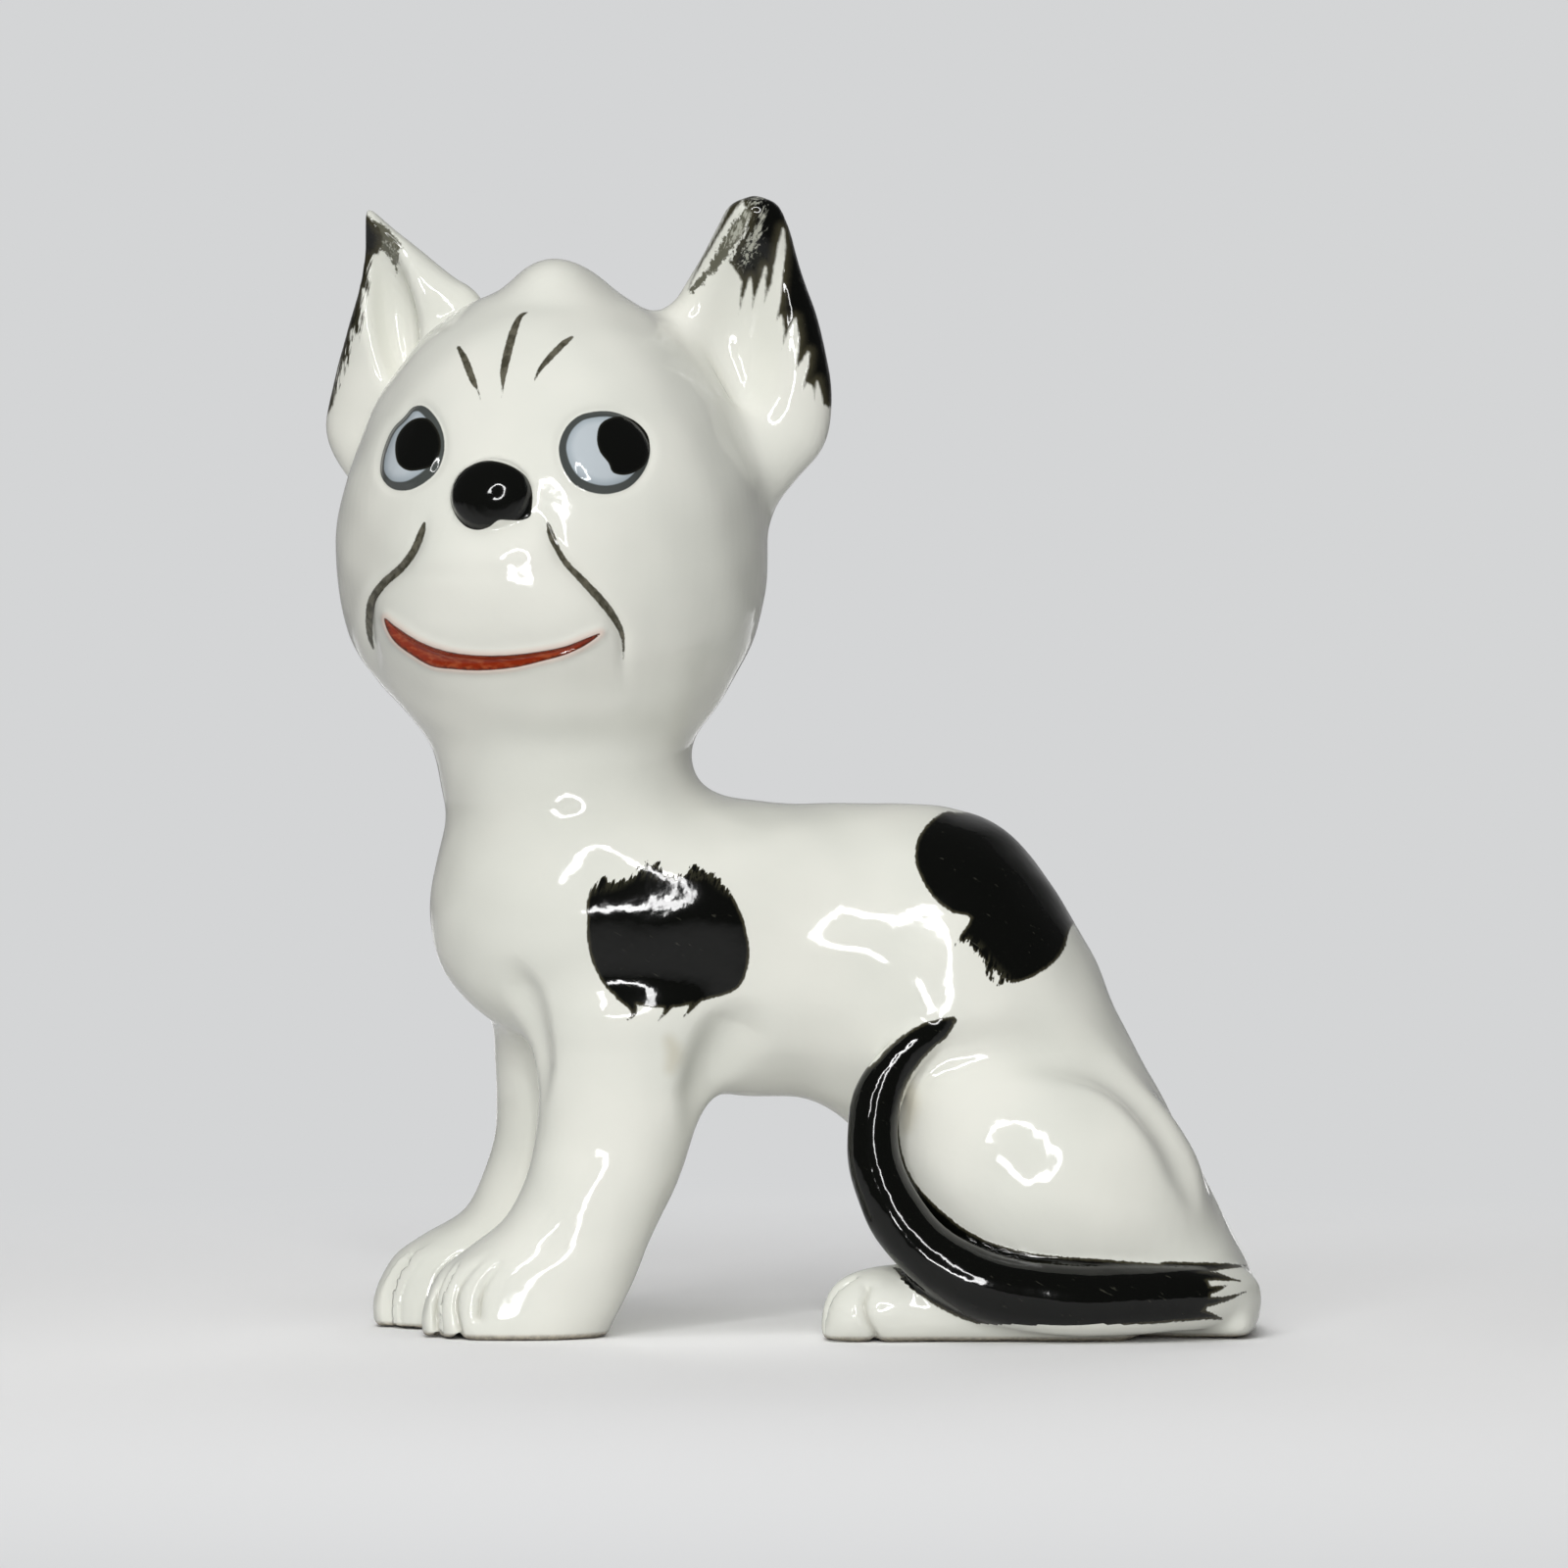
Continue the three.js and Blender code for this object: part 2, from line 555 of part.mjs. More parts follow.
// An ellipsoid that lies on the face, its middle lifted clear of the skin by lift.
function faceEgg(angle, height, lift, wide, standout, tall, sides, rings) {
  const { aside, out, up } = faceAxes(angle, height);
  const geometry = egg(vec(0, -lift, 0), wide / 2, standout, tall / 2, 0, sides, rings);
  const place = new THREE.Matrix4().makeBasis(aside, out.negate(), up);
  return geometry.applyMatrix4(place.setPosition(onFace(angle, height)));
}

const headHollow = solid(slab(hollowRows(headRows.slice(1, -2), WALL), 12, 12));
const head = solid(headSkin)
  .subtract(headHollow)
  .subtract(below(neckTop + JOINT_GAP / 2));
const headClear = solid(swollen(headSkin, JOINT_GAP));

const noseShape = faceEgg(0, NOSE_RISE, 0, NOSE_WIDTH, NOSE_STANDOUT, NOSE_HEIGHT, 14, 10);
const nose = solid(noseShape).subtract(headClear);

function eyeShape(side, more) {
  const standout = EYE_STANDOUT + more / 2;
  const angle = side * EYE_ANGLE;
  return solid(faceEgg(angle, EYE_RISE, 0, EYE_WIDTH + more, standout, EYE_HEIGHT + more, 16, 8));
}

function eye(side) {
  return eyeShape(side, 0).subtract(headClear);
}

function pupil(side) {
  const angle = side * EYE_ANGLE + PUPIL_GLANCE;
  const lift = EYE_STANDOUT * 0.8;
  const shape = faceEgg(angle, EYE_RISE + 0.3, lift, PUPIL_SIZE, PUPIL_STANDOUT, PUPIL_SIZE, 12, 8);
  return solid(shape).subtract(eyeShape(side, 2 * JOINT_GAP)).subtract(headClear);
}

// The smile: a thin crescent laid on the muzzle
const mouthReach = THREE.MathUtils.radToDeg(Math.asin(MOUTH_WIDTH / 2 / headSize(MOUTH_RISE).wide));
const lipShape = skin((s) => {
  const share = 2 * s - 1;
  const angle = mouthReach * share;
  const height = MOUTH_RISE - MOUTH_SAG * (1 - share ** 2);
  const { out, up } = faceAxes(angle, height);
  const full = Math.sqrt(Math.max(0, 1 - share ** 2));
  return {
    centre: onFace(angle, height),
    across: up.multiplyScalar((LIP_HEIGHT / 2) * full),
    through: out.multiplyScalar(LIP_THICKNESS),
  };
}, 8, 16);
const lips = solid(lipShape).subtract(headClear);

// Ears: a leaf with a scoop in its front, rooted in the side of the head

const earRootHeight = 24.5;
const earRoot = headSize(earRootHeight + 9).wide - EAR_SEAT;
const earBottom = neckTop + earRootHeight;
const earRow = (outer, outerUp, inner, innerUp, thick, back) => [
  earRoot + outer * EAR_WIDTH,
  earBottom + outerUp * EAR_HEIGHT,
  earRoot + inner * EAR_WIDTH,
  earBottom + innerUp * EAR_HEIGHT,
  (thick * EAR_THICKNESS) / 2,
  EAR_SETBACK + back,
];
const leftEarRows = [
  earRow(0.53, 0, 0.53, 0, 0, 1),
  earRow(0.72, 0.06, 0.3, 0.075, 0.6, 1.4),
  earRow(0.92, 0.17, 0.12, 0.19, 0.9, 1.8),
  earRow(0.97, 0.31, -0.03, 0.35, 1, 2),
  earRow(0.92, 0.52, -0.09, 0.54, 1, 2 - EAR_LEAN * 0.25),
  earRow(0.84, 0.7, 0.04, 0.69, 0.9, 1.5 - EAR_LEAN * 0.5),
  earRow(0.78, 0.83, 0.2, 0.82, 0.75, 1 - EAR_LEAN * 0.72),
  earRow(0.73, 0.92, 0.34, 0.91, 0.6, 0.5 - EAR_LEAN * 0.9),
  earRow(0.67, 0.98, 0.45, 0.97, 0.4, -EAR_LEAN),
  earRow(0.56, 1, 0.56, 1, 0, -EAR_LEAN),
];
// The right ear is slimmer towards its tip and broader where it meets the skull.
const rightEarRows = [
  earRow(0.53, 0, 0.53, 0, 0, 1),
  earRow(0.7, 0.05, 0.3, 0.075, 0.6, 1.4),
  earRow(0.84, 0.16, 0.1, 0.19, 0.9, 1.8),
  earRow(0.88, 0.27, -0.1, 0.35, 1, 2),
  earRow(0.83, 0.45, -0.18, 0.54, 1, 2 - EAR_LEAN * 0.25),
  earRow(0.76, 0.59, -0.11, 0.69, 0.9, 1.5 - EAR_LEAN * 0.5),
  earRow(0.68, 0.72, 0.03, 0.76, 0.8, 1.2 - EAR_LEAN * 0.6),
  earRow(0.63, 0.82, 0.2, 0.84, 0.65, 1 - EAR_LEAN * 0.72),
  earRow(0.59, 0.92, 0.39, 0.925, 0.45, 0.5 - EAR_LEAN * 0.9),
  earRow(0.55, 0.995, 0.55, 0.995, 0, -EAR_LEAN),
];
const earTilt = Math.atan2(EAR_LEAN + 1, EAR_HEIGHT);

// The scoop's deepest point leaves the wall behind it.
function scoopShape(aside) {
  const depth = EAR_THICKNESS - EAR_WALL;
  const shape = egg(vec(0, 0, 0), EAR_WIDTH * 0.24, depth, EAR_HEIGHT * 0.34, 8, 10, 10);
  shape.rotateX(earTilt);
  const front = EAR_SETBACK + 1.7 - EAR_THICKNESS / 2;
  return solid(shape.translate(earRoot + aside * EAR_WIDTH, front, earBottom + 0.47 * EAR_HEIGHT));
}

function ear(side) {
  const rows = side < 0 ? leftEarRows : rightEarRows;
  const cup = solid(slab(rows, 12, 16)).subtract(scoopShape(side < 0 ? 0.43 : 0.38));
  const placed = side < 0 ? cup : mirrored(cup);
  return placed.subtract(headClear);
}

// The cat's left is -1 in this file, and +X in the head's frame; its right is the mirror image.
function mirrored(manifold) {
  const cut = manifold.getMesh();
  const geometry = new THREE.BufferGeometry();
  geometry.setAttribute("position", new THREE.BufferAttribute(cut.vertProperties, cut.numProp));
  geometry.setIndex(new THREE.BufferAttribute(cut.triVerts, 1));
  geometry.scale(-1, 1, 1);
  return solid(outward(geometry));
}

// Assembly

const headGroup = new THREE.Group();
headGroup.add(
  node("head_shell", head, white),
  node("left_ear", ear(-1), white),
  node("right_ear", ear(1), white),
  node("nose_button", nose, black),
  node("left_eye", eye(1), eyeWhite),
  node("right_eye", eye(-1), eyeWhite),
  node("left_pupil", pupil(1), black),
  node("right_pupil", pupil(-1), black),
  node("lips", lips, red),
);
headGroup.position.x = neckMiddle - HEAD_FORWARD;
headGroup.rotation.z = -THREE.MathUtils.degToRad(HEAD_TURN);

const cat = new THREE.Group();
cat.add(
  headGroup,
  node("torso_shell", torso, white),
  node("left_front_leg", frontLeg(-1), white),
  node("right_front_leg", frontLeg(1), white),
  node("left_hind_leg", hindLeg(-1), white),
  node("right_hind_leg", hindLeg(1), white),
  node("tail", tail, black),
  node("shoulder_patch", shoulderPatch, black),
  node("rump_patch", rumpPatch, black),
);

// The origin is under the middle of the whole cat.
const extent = new THREE.Box3().setFromObject(cat, true);
cat.position.x = -(extent.min.x + extent.max.x) / 2;
cat.position.y = -(extent.min.y + extent.max.y) / 2;

export default cat;
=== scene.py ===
"""Looks of a glazed porcelain cat: one cast and painted skin, split where the CAD pieces meet.

The skin is blended from lofted forms in a signed distance grid, because slip fills every
joint of a real casting with a soft fillet. Paint lies on it as distances to brushed outlines,
which are measured in millimetres on the plane through the cat's spine, as the camera sees it.
"""
import math

import bpy
import numpy as np
import openvdb as vdb
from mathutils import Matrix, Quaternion, Vector


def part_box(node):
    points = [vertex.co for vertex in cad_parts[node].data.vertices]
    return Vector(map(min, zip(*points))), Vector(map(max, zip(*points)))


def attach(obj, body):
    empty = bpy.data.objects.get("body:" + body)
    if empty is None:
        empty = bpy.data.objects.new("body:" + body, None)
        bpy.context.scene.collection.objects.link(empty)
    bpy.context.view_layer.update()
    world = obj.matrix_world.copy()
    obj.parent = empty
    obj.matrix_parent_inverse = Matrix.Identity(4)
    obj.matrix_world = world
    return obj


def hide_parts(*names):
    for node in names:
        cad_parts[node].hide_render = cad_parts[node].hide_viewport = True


MM = 0.001

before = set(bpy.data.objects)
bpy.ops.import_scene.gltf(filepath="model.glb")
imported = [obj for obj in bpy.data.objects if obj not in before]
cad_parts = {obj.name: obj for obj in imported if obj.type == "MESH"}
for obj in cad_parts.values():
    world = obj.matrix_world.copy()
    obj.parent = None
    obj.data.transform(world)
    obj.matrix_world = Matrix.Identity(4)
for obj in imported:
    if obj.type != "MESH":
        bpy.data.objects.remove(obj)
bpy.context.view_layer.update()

# Frame: millimetres from a datum under the spine, as in the part's source
RUMP_REAR = 45.2
torso_low, torso_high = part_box("torso_shell")
DATUM = np.array([torso_high.x / MM - RUMP_REAR, (torso_low.y + torso_high.y) / 2 / MM, 0.0])

# Camera: square on to the left side, a long way off
VIEW_CENTRE = np.array([-0.76, 53.0])
VIEW_WIDTH = 152.0
VIEW_DISTANCE = 700.0
SENSOR = 36.0
PIXELS = 1600
MM_PER_PIXEL = VIEW_WIDTH / PIXELS
PHOTO_DATUM = np.array([808.0, 1358.0])  # pixel of the datum in the photograph


def px(points):
    """Photograph pixels as millimetres on the spine's plane; further columns are pixels too."""
    rows = np.array(points, float)
    out = rows * MM_PER_PIXEL
    out[:, 0] = (rows[:, 0] - PHOTO_DATUM[0]) * MM_PER_PIXEL
    out[:, 1] = (PHOTO_DATUM[1] - rows[:, 1]) * MM_PER_PIXEL
    return out


def seen(points):
    """Where the camera sees points, on the spine's plane."""
    nearness = VIEW_DISTANCE / (VIEW_DISTANCE + points[:, 1])
    return VIEW_CENTRE + (points[:, [0, 2]] - VIEW_CENTRE) * nearness[:, None]


# Small maths

TINY = 1e-12  # keeps a division by nothing apart


def smoothstep(low, high, value):
    t = np.clip((value - low) / (high - low), 0, 1)
    return t * t * (3 - 2 * t)


def bulge(distance, width=2.2):
    """Rises from 0 at an edge to 1 inside it."""
    return 1 - np.exp(-np.maximum(distance, 0) / width)


def hump(distance, width):
    """1 on a line, and fading to both sides of it."""
    return np.exp(-((distance / width) ** 2))


def spline(rows, shares):
    """Centripetal Catmull-Rom through rows, at shares of the way along the list."""
    rows = np.array(rows, float)
    ends = [2 * rows[0] - rows[1]], [2 * rows[-1] - rows[-2]]
    padded = np.concatenate([ends[0], rows, ends[1]])
    gaps = np.sqrt(np.linalg.norm(np.diff(padded[:, :3], axis=0), axis=1)) + 1e-6
    knots = np.concatenate([[0], np.cumsum(gaps)])
    place = np.clip(np.asarray(shares) * (len(rows) - 1), 0, len(rows) - 1 - 1e-9)
    piece = place.astype(int)
    k = [knots[piece + i] for i in range(4)]
    p = [padded[piece + i] for i in range(4)]
    t = k[1] + (place - piece) * (k[2] - k[1])

    def mix(a, b, ka, kb):
        share = ((t - ka) / (kb - ka))[:, None]
        return a * (1 - share) + b * share

    a1, a2, a3 = mix(p[0], p[1], k[0], k[1]), mix(p[1], p[2], k[1], k[2]), mix(p[2], p[3], k[2], k[3])
    b1, b2 = mix(a1, a2, k[0], k[2]), mix(a2, a3, k[1], k[3])
    return mix(b1, b2, k[1], k[2])


# Forms: each is a closed grid of points, given as (points, quads, triangles)


def close_rings(rings, first, last):
    """Joins rings of points into a closed skin with a pole at each end."""
    count, sides = rings.shape[:2]
    points = np.concatenate([[first], rings.reshape(-1, 3), [last]])
    j = np.arange(sides)
    following = (j + 1) % sides
    quads = []
    for i in range(count - 1):
        here, there = 1 + i * sides, 1 + (i + 1) * sides
        quads.append(np.stack([here + j, here + following, there + following, there + j], 1))
    top = np.stack([np.zeros(sides, int), 1 + following, 1 + j], 1)
    base = 1 + (count - 1) * sides
    bottom = np.stack([np.full(sides, len(points) - 1), base + j, base + following], 1)
    return points, np.concatenate(quads), np.concatenate([top, bottom])


def slab(rows, sides=64, rings=160, power=2.0):
    """A body drawn by two outlines in the XZ plane, its half thickness and its middle's Y.

    A seventh column squares the section: 2 is an ellipse, more is fuller at the corners.
    """
    shares = np.linspace(0, 1, rings + 2)[1:-1]
    at = spline(rows, shares)
    square = 2 / (at[:, 6:7] if at.shape[1] > 6 else np.full((rings, 1), power))
    angle = np.linspace(0, 2 * np.pi, sides, endpoint=False)[None]
    across = np.sign(np.cos(angle)) * np.abs(np.cos(angle)) ** square
    through = np.sign(np.sin(angle)) * np.abs(np.sin(angle)) ** square
    middle = np.stack([(at[:, 0] + at[:, 2]) / 2, at[:, 5], (at[:, 1] + at[:, 3]) / 2], 1)
    reach = np.stack([(at[:, 0] - at[:, 2]) / 2, at[:, 5] * 0, (at[:, 1] - at[:, 3]) / 2], 1)
    thick = np.maximum(at[:, 4], 0)
    skin = middle[:, None] + reach[:, None] * across[:, :, None]
    skin[:, :, 1] += thick[:, None] * through
    ends = [np.array([(r[0] + r[2]) / 2, r[5], (r[1] + r[3]) / 2]) for r in (rows[0], rows[-1])]
    return close_rings(skin, *ends)


def rope(rows, sides=32, rings=160):
    """A round rope along a path of x, y, z and radius, its ends domed."""
    shares = (1 - np.cos(np.linspace(0, np.pi, rings + 2)[1:-1])) / 2
    at = spline(rows, shares)
    ahead = np.gradient(at[:, :3], axis=0)
    ahead /= np.linalg.norm(ahead, axis=1)[:, None]
    side = np.array([0, 1, 0]) - ahead * ahead[:, 1:2]
    side /= np.linalg.norm(side, axis=1)[:, None]
    up = np.cross(ahead, side)
    dome = np.sqrt(np.clip(np.minimum(shares, 1 - shares) * len(rows), 0, 1))
    size = (at[:, 3] * dome)[:, None, None]
    angle = np.linspace(0, 2 * np.pi, sides, endpoint=False)
    skin = at[:, None, :3] + size * (up[:, None] * np.cos(angle)[None, :, None]
                                     + side[:, None] * np.sin(angle)[None, :, None])
    return close_rings(skin, np.array(rows[0][:3], float), np.array(rows[-1][:3], float))


def egg(centre, radii, turn=np.eye(3), sides=48, rings=32):
    theta = np.linspace(0, np.pi, rings + 2)[1:-1, None]
    phi = np.linspace(0, 2 * np.pi, sides, endpoint=False)[None]
    ball = np.stack([np.sin(theta) * np.cos(phi), np.sin(theta) * np.sin(phi),
                     np.cos(theta) + 0 * phi], 2)
    radii = np.array(radii, float)
    centre = np.array(centre, float)
    skin = (ball * radii) @ turn.T + centre
    pole = turn @ np.array([0, 0, radii[2]])
    return close_rings(skin, centre + pole, centre - pole)


def rotation(axis, degrees):
    c, s = math.cos(math.radians(degrees)), math.sin(math.radians(degrees))
    rows = {"x": [[1, 0, 0], [0, c, -s], [0, s, c]], "y": [[c, 0, s], [0, 1, 0], [-s, 0, c]],
            "z": [[c, -s, 0], [s, c, 0], [0, 0, 1]]}
    return np.array(rows[axis], float)


def moved(form, turn, shift):
    points, quads, triangles = form
    return points @ turn.T + shift, quads, triangles


# Distance grid

VOXEL = 0.4
LOW = np.array([-49.0, -23.0, -1.5])
HIGH = np.array([49.0, 24.0, 112.0])
FIRST = np.floor(LOW / VOXEL).astype(int)
SHAPE = tuple(np.ceil((HIGH - LOW) / VOXEL).astype(int))
BAND = 5.2  # how far from a form its distance is known


def field(form):
    """Signed distance to a form over the grid, negative inside."""
    points, quads, triangles = form
    grid = vdb.FloatGrid.createLevelSetFromPolygons(
        points.astype(np.float32), triangles=triangles.astype(np.uint32),
        quads=quads.astype(np.uint32), transform=vdb.createLinearTransform(voxelSize=VOXEL),
        halfWidth=BAND / VOXEL)
    values = np.empty(SHAPE, np.float32)
    grid.copyToArray(values, ijk=tuple(int(v) for v in FIRST))
    return values


def join(a, b, soft):
    """Both bodies, with a fillet about soft millimetres wide where they meet."""
    share = np.clip(0.5 + 0.5 * (b - a) / soft, 0, 1)
    return b + (a - b) * share - soft * share * (1 - share)


def carve(a, b, soft):
    """The first body without the second, its new edges rounded."""
    return -join(-a, b, soft)


def below_plane(height):
    """Distance field of everything under a level."""
    z = (np.arange(SHAPE[2]) + FIRST[2]) * VOXEL - height
    return np.broadcast_to(z.astype(np.float32), SHAPE)


def sample(values, points):
    """Values of a grid at points, between voxels."""
    place = points / VOXEL - FIRST
    cell = np.clip(place.astype(int), 0, np.array(SHAPE) - 2)
    f = (place - cell).astype(np.float32)
    out = np.zeros(len(points), np.float32)
    for corner in np.ndindex(2, 2, 2):
        weight = np.prod(np.where(corner, f, 1 - f), axis=1)
        i, j, k = (cell + corner).T
        out += weight * values[i, j, k]
    return out


# Sizes in millimetres, as in the part's source

BELLY = 22.4
BACK = BELLY + 28.7
NECK_TOP = BACK + 5.4
CHEST = RUMP_REAR - 80.2
NECK_FRONT = CHEST + 0.8
NECK_BACK = NECK_FRONT + 24.2
NECK_MIDDLE = (NECK_FRONT + NECK_BACK) / 2
NECK_HALF = 10.0
BARREL_HALF = 13.5
RUMP_HALF = 14.0
SINK = 1.0  # how far the forms reach below the table before the cut

HEAD_TURN = -15.2
HEAD_FORWARD = 1.1
CHEEK = 20.8
BROW = 19.5
HEAD_HEIGHT = 45.4
SKULL_TOP = NECK_TOP + HEAD_HEIGHT


def torso_form():
    """Back outline and belly outline from the neck round to the rump."""
    def chest(dx, dz):
        return CHEST + dx, BACK + dz

    def back(dx, dz):
        return NECK_BACK + dx, BACK + dz

    def rump(dx, z):
        return RUMP_REAR + dx, z

    rows = [
        [NECK_BACK - 2.2, NECK_TOP + 7, NECK_FRONT + 2, NECK_TOP + 7, 0, 0, 2],
        [NECK_BACK - 2.1, NECK_TOP + 5, NECK_FRONT + 1.8, NECK_TOP + 5, NECK_HALF, 0, 2],
        [NECK_BACK - 2, NECK_TOP, NECK_FRONT + 1.2, NECK_TOP, NECK_HALF, 0, 2],
        [*back(0, 2.2), *chest(1.9, 0.2), NECK_HALF + 0.5, 0, 2],
        [*back(3.2, 0.7), *chest(0.5, -5.6), BARREL_HALF - 1.4, 0, 2.05],
        [*back(7.1, 0.2), *chest(0, -10.9), BARREL_HALF - 0.3, 0, 2.05],
        [*back(10.3, 0), *chest(1.5, -16.6), BARREL_HALF + 0.4, 0, 2.05],
        [*back(13.5, 0), *chest(7, -21.6), BARREL_HALF + 0.5, 0, 2.1],
        [*back(17.5, 0), CHEST + 18, BELLY + 3.4, BARREL_HALF - 0.4, 0, 2.1],
        [*rump(-33.7, BACK - 0.1), CHEST + 29, BELLY + 0.6, BARREL_HALF - 0.9, 0, 2.1],
        [*rump(-29.7, BACK - 0.5), CHEST + 36.5, BELLY, BARREL_HALF - 0.5, 0, 2.1],
        [*rump(-24.8, BACK - 2.4), *rump(-38.2, BELLY - 3.9), RUMP_HALF, 0, 2.15],
        [*rump(-20.2, BACK * 0.852), *rump(-36.2, BELLY * 0.54), RUMP_HALF + 0.1, 0, 2.2],
        [*rump(-16.4, BACK * 0.725), *rump(-34.5, BELLY * 0.24), RUMP_HALF, 0, 2.2],
        [*rump(-13.2, BACK * 0.588), *rump(-31, BELLY * 0.04), RUMP_HALF, 0, 2.2],
        [*rump(-9.7, BACK * 0.46), *rump(-26, -SINK / 2), RUMP_HALF, 0, 2.2],
        [*rump(-6.3, BACK * 0.333), *rump(-20, -SINK), RUMP_HALF, 0, 2.2],
        [*rump(-3.2, BACK * 0.215), *rump(-13.5, -SINK), RUMP_HALF - 0.4, 0, 2.2],
        [*rump(-0.8, BACK * 0.11), *rump(-7.5, -SINK), RUMP_HALF - 1.4, 0, 2.2],
        [*rump(0, BACK * 0.045), *rump(-3, -SINK), RUMP_HALF - 3.5, 0, 2.1],
        [*rump(-1.4, -SINK), *rump(-1.4, -SINK), 0, 0, 2],
    ]
    return slab(rows, sides=96, rings=300)


LEG_TOP = BELLY + 9
LEG_HALF = 5.7
PAW_HALF = 6.6
LEG_SPREAD = PAW_HALF + 0.15
PAW_FRONT = CHEST - 0.5
SHIN_FRONT = CHEST + 10.7
STAGGER = 4.5  # the far leg is this much ahead
FAR_TOES = 0.9  # and its paw this much longer


def leg_form(side):
    ahead = -STAGGER if side > 0 else 0
    y = side * LEG_SPREAD

    def level(shin_rear, shin_front, share, half):
        z = LEG_TOP * share
        return [SHIN_FRONT + 15.6 + shin_rear + ahead, z, SHIN_FRONT + shin_front + ahead, z, half, y]

    def paw(heel, toe, share, half):
        z = LEG_TOP * share
        reach = FAR_TOES if side > 0 else 0
        return [PAW_FRONT + 17.5 + heel + ahead, z, PAW_FRONT + toe + ahead - reach, z, half, y]

    rows = [
        level(-2, 5, 1.1, 0),
        level(1.8, 0.9, 1, LEG_HALF + 0.4),
        level(1.5, 0, 0.86, LEG_HALF + 0.3),
        level(0.3, 0, 0.72, LEG_HALF),
        level(-1.1, -0.4, 0.585, LEG_HALF - 0.2),
        level(-2.5, -1.5, 0.46, LEG_HALF - 0.2),
        level(-4, -3.3, 0.36, LEG_HALF),
        paw(4.3, 5.1, 0.285, PAW_HALF - 0.6),
        paw(3.5, 2.1, 0.22, PAW_HALF - 0.1),
        paw(2.6, 0.8, 0.16, PAW_HALF),
        paw(1.6, 0.1, 0.1, PAW_HALF),
        paw(0.6, 0, 0.04, PAW_HALF),
        paw(-0.3, 0.6, -0.02, PAW_HALF - 0.4),
        paw(-8, 17.5 - 8, -0.04, 0),
    ]
    return slab(rows, power=2.1)


HAUNCH_BULGE = 3.6  # how far it stands out of the rump
HAUNCH_SUNK = 5.5  # and how far it reaches into it
HAUNCH_OUT = RUMP_HALF + HAUNCH_BULGE
HAUNCH_HALF = HAUNCH_BULGE + HAUNCH_SUNK
HAUNCH_HEIGHT = 23.5
HAUNCH_LIFT = 3.6  # table to the haunch's underside
TOE = RUMP_REAR - 41.9
FOOT_HALF = 5.3
FOOT_Y = HAUNCH_OUT - FOOT_HALF - 1.2


def haunch_form(side):
    centre = [RUMP_REAR - 20.6, side * (HAUNCH_OUT - HAUNCH_HALF), HAUNCH_HEIGHT / 2 + HAUNCH_LIFT]
    return egg(centre, [15, HAUNCH_HALF, HAUNCH_HEIGHT / 2], rotation("y", 22))


def foot_form(side):
    toe, low = (TOE - 0.5, 1) if side < 0 else (TOE + 1.2, 0.8)

    def row(dx, height, share):
        return [toe + dx, height * low, toe + dx, -SINK, FOOT_HALF * share, side * FOOT_Y]

    rows = [
        [toe, 1, toe, 1, 0, side * FOOT_Y],
        row(0.3, 3.2, 0.5),
        row(1.2, 5, 0.76),
        row(2.6, 6.1, 0.92),
        row(4.8, 6.9, 1),
        row(9, 7.3, 1),
        row(15, 7.5, 1),
        row(26, 7, 0.9),
        row(29, 4.9, 0.5),
        [toe + 30, 1, toe + 30, 1, 0, side * FOOT_Y],
    ]
    return slab(rows)


TAIL_RADIUS = 3.4
TAIL_TIP = 1.3
TAIL_LIFT = 0.7  # table to the tail's underside
TAIL_REACH = 37.5  # rump's rear to the tail's rising part
TAIL_TUCK = 1.6  # how far its middle lies inside the haunch's outside


def tail_form():
    y = -(HAUNCH_OUT - TAIL_TUCK)
    z = TAIL_LIFT + TAIL_RADIUS
    front = RUMP_REAR - TAIL_REACH
    rows = [
        [RUMP_REAR - 2, y + 13.5, z, TAIL_RADIUS * 0.74],
        [RUMP_REAR - 3, y + 7.5, z, TAIL_RADIUS * 0.8],
        [RUMP_REAR - 6.9, y + 2.9, z, TAIL_RADIUS * 0.88],
        [RUMP_REAR - 12.2, y + 1, z, TAIL_RADIUS * 0.96],
        [RUMP_REAR - 18.2, y + 0.2, z + 0.1, TAIL_RADIUS],
        [RUMP_REAR - 24.2, y, z + 0.6, TAIL_RADIUS],
        [front + 8.1, y, z + 2.4, TAIL_RADIUS * 0.95],
        [front + 4.2, y + 0.3, z + 5.4, TAIL_RADIUS * 0.87],
        [front + 1.4, y + 0.9, z + 9.4, TAIL_RADIUS * 0.79],
        [front, y + 1.5, z + 13.7, TAIL_RADIUS * 0.74],
        [front + 0.2, y + 2, z + 17.9, TAIL_RADIUS * 0.7],
        [front + 1.9, y + 2.5, z + 21.7, TAIL_RADIUS * 0.63],
        [front + 4.5, y + 2.9, z + 24.4, (TAIL_RADIUS + TAIL_TIP) * 0.38],
        [front + 7.7, y + 3.1, z + 26.2, TAIL_TIP * 0.85],
    ]
    return rope(rows, rings=240)


# Head, made in its own frame and then turned

HEAD_PLACE = np.array([NECK_MIDDLE - HEAD_FORWARD, 0, 0])
FACE = rotation("z", HEAD_TURN)


def turned(form):
    return moved(form, FACE, HEAD_PLACE)


def head_row(z, wide, deep, over_neck=0.0):
    lean = HEAD_FORWARD * over_neck
    x = lean * math.cos(math.radians(HEAD_TURN))
    y = -lean * math.sin(math.radians(HEAD_TURN))
    height = NECK_TOP + z * HEAD_HEIGHT
    return [x + CHEEK * wide, height, x - CHEEK * wide, height, BROW * deep, y]


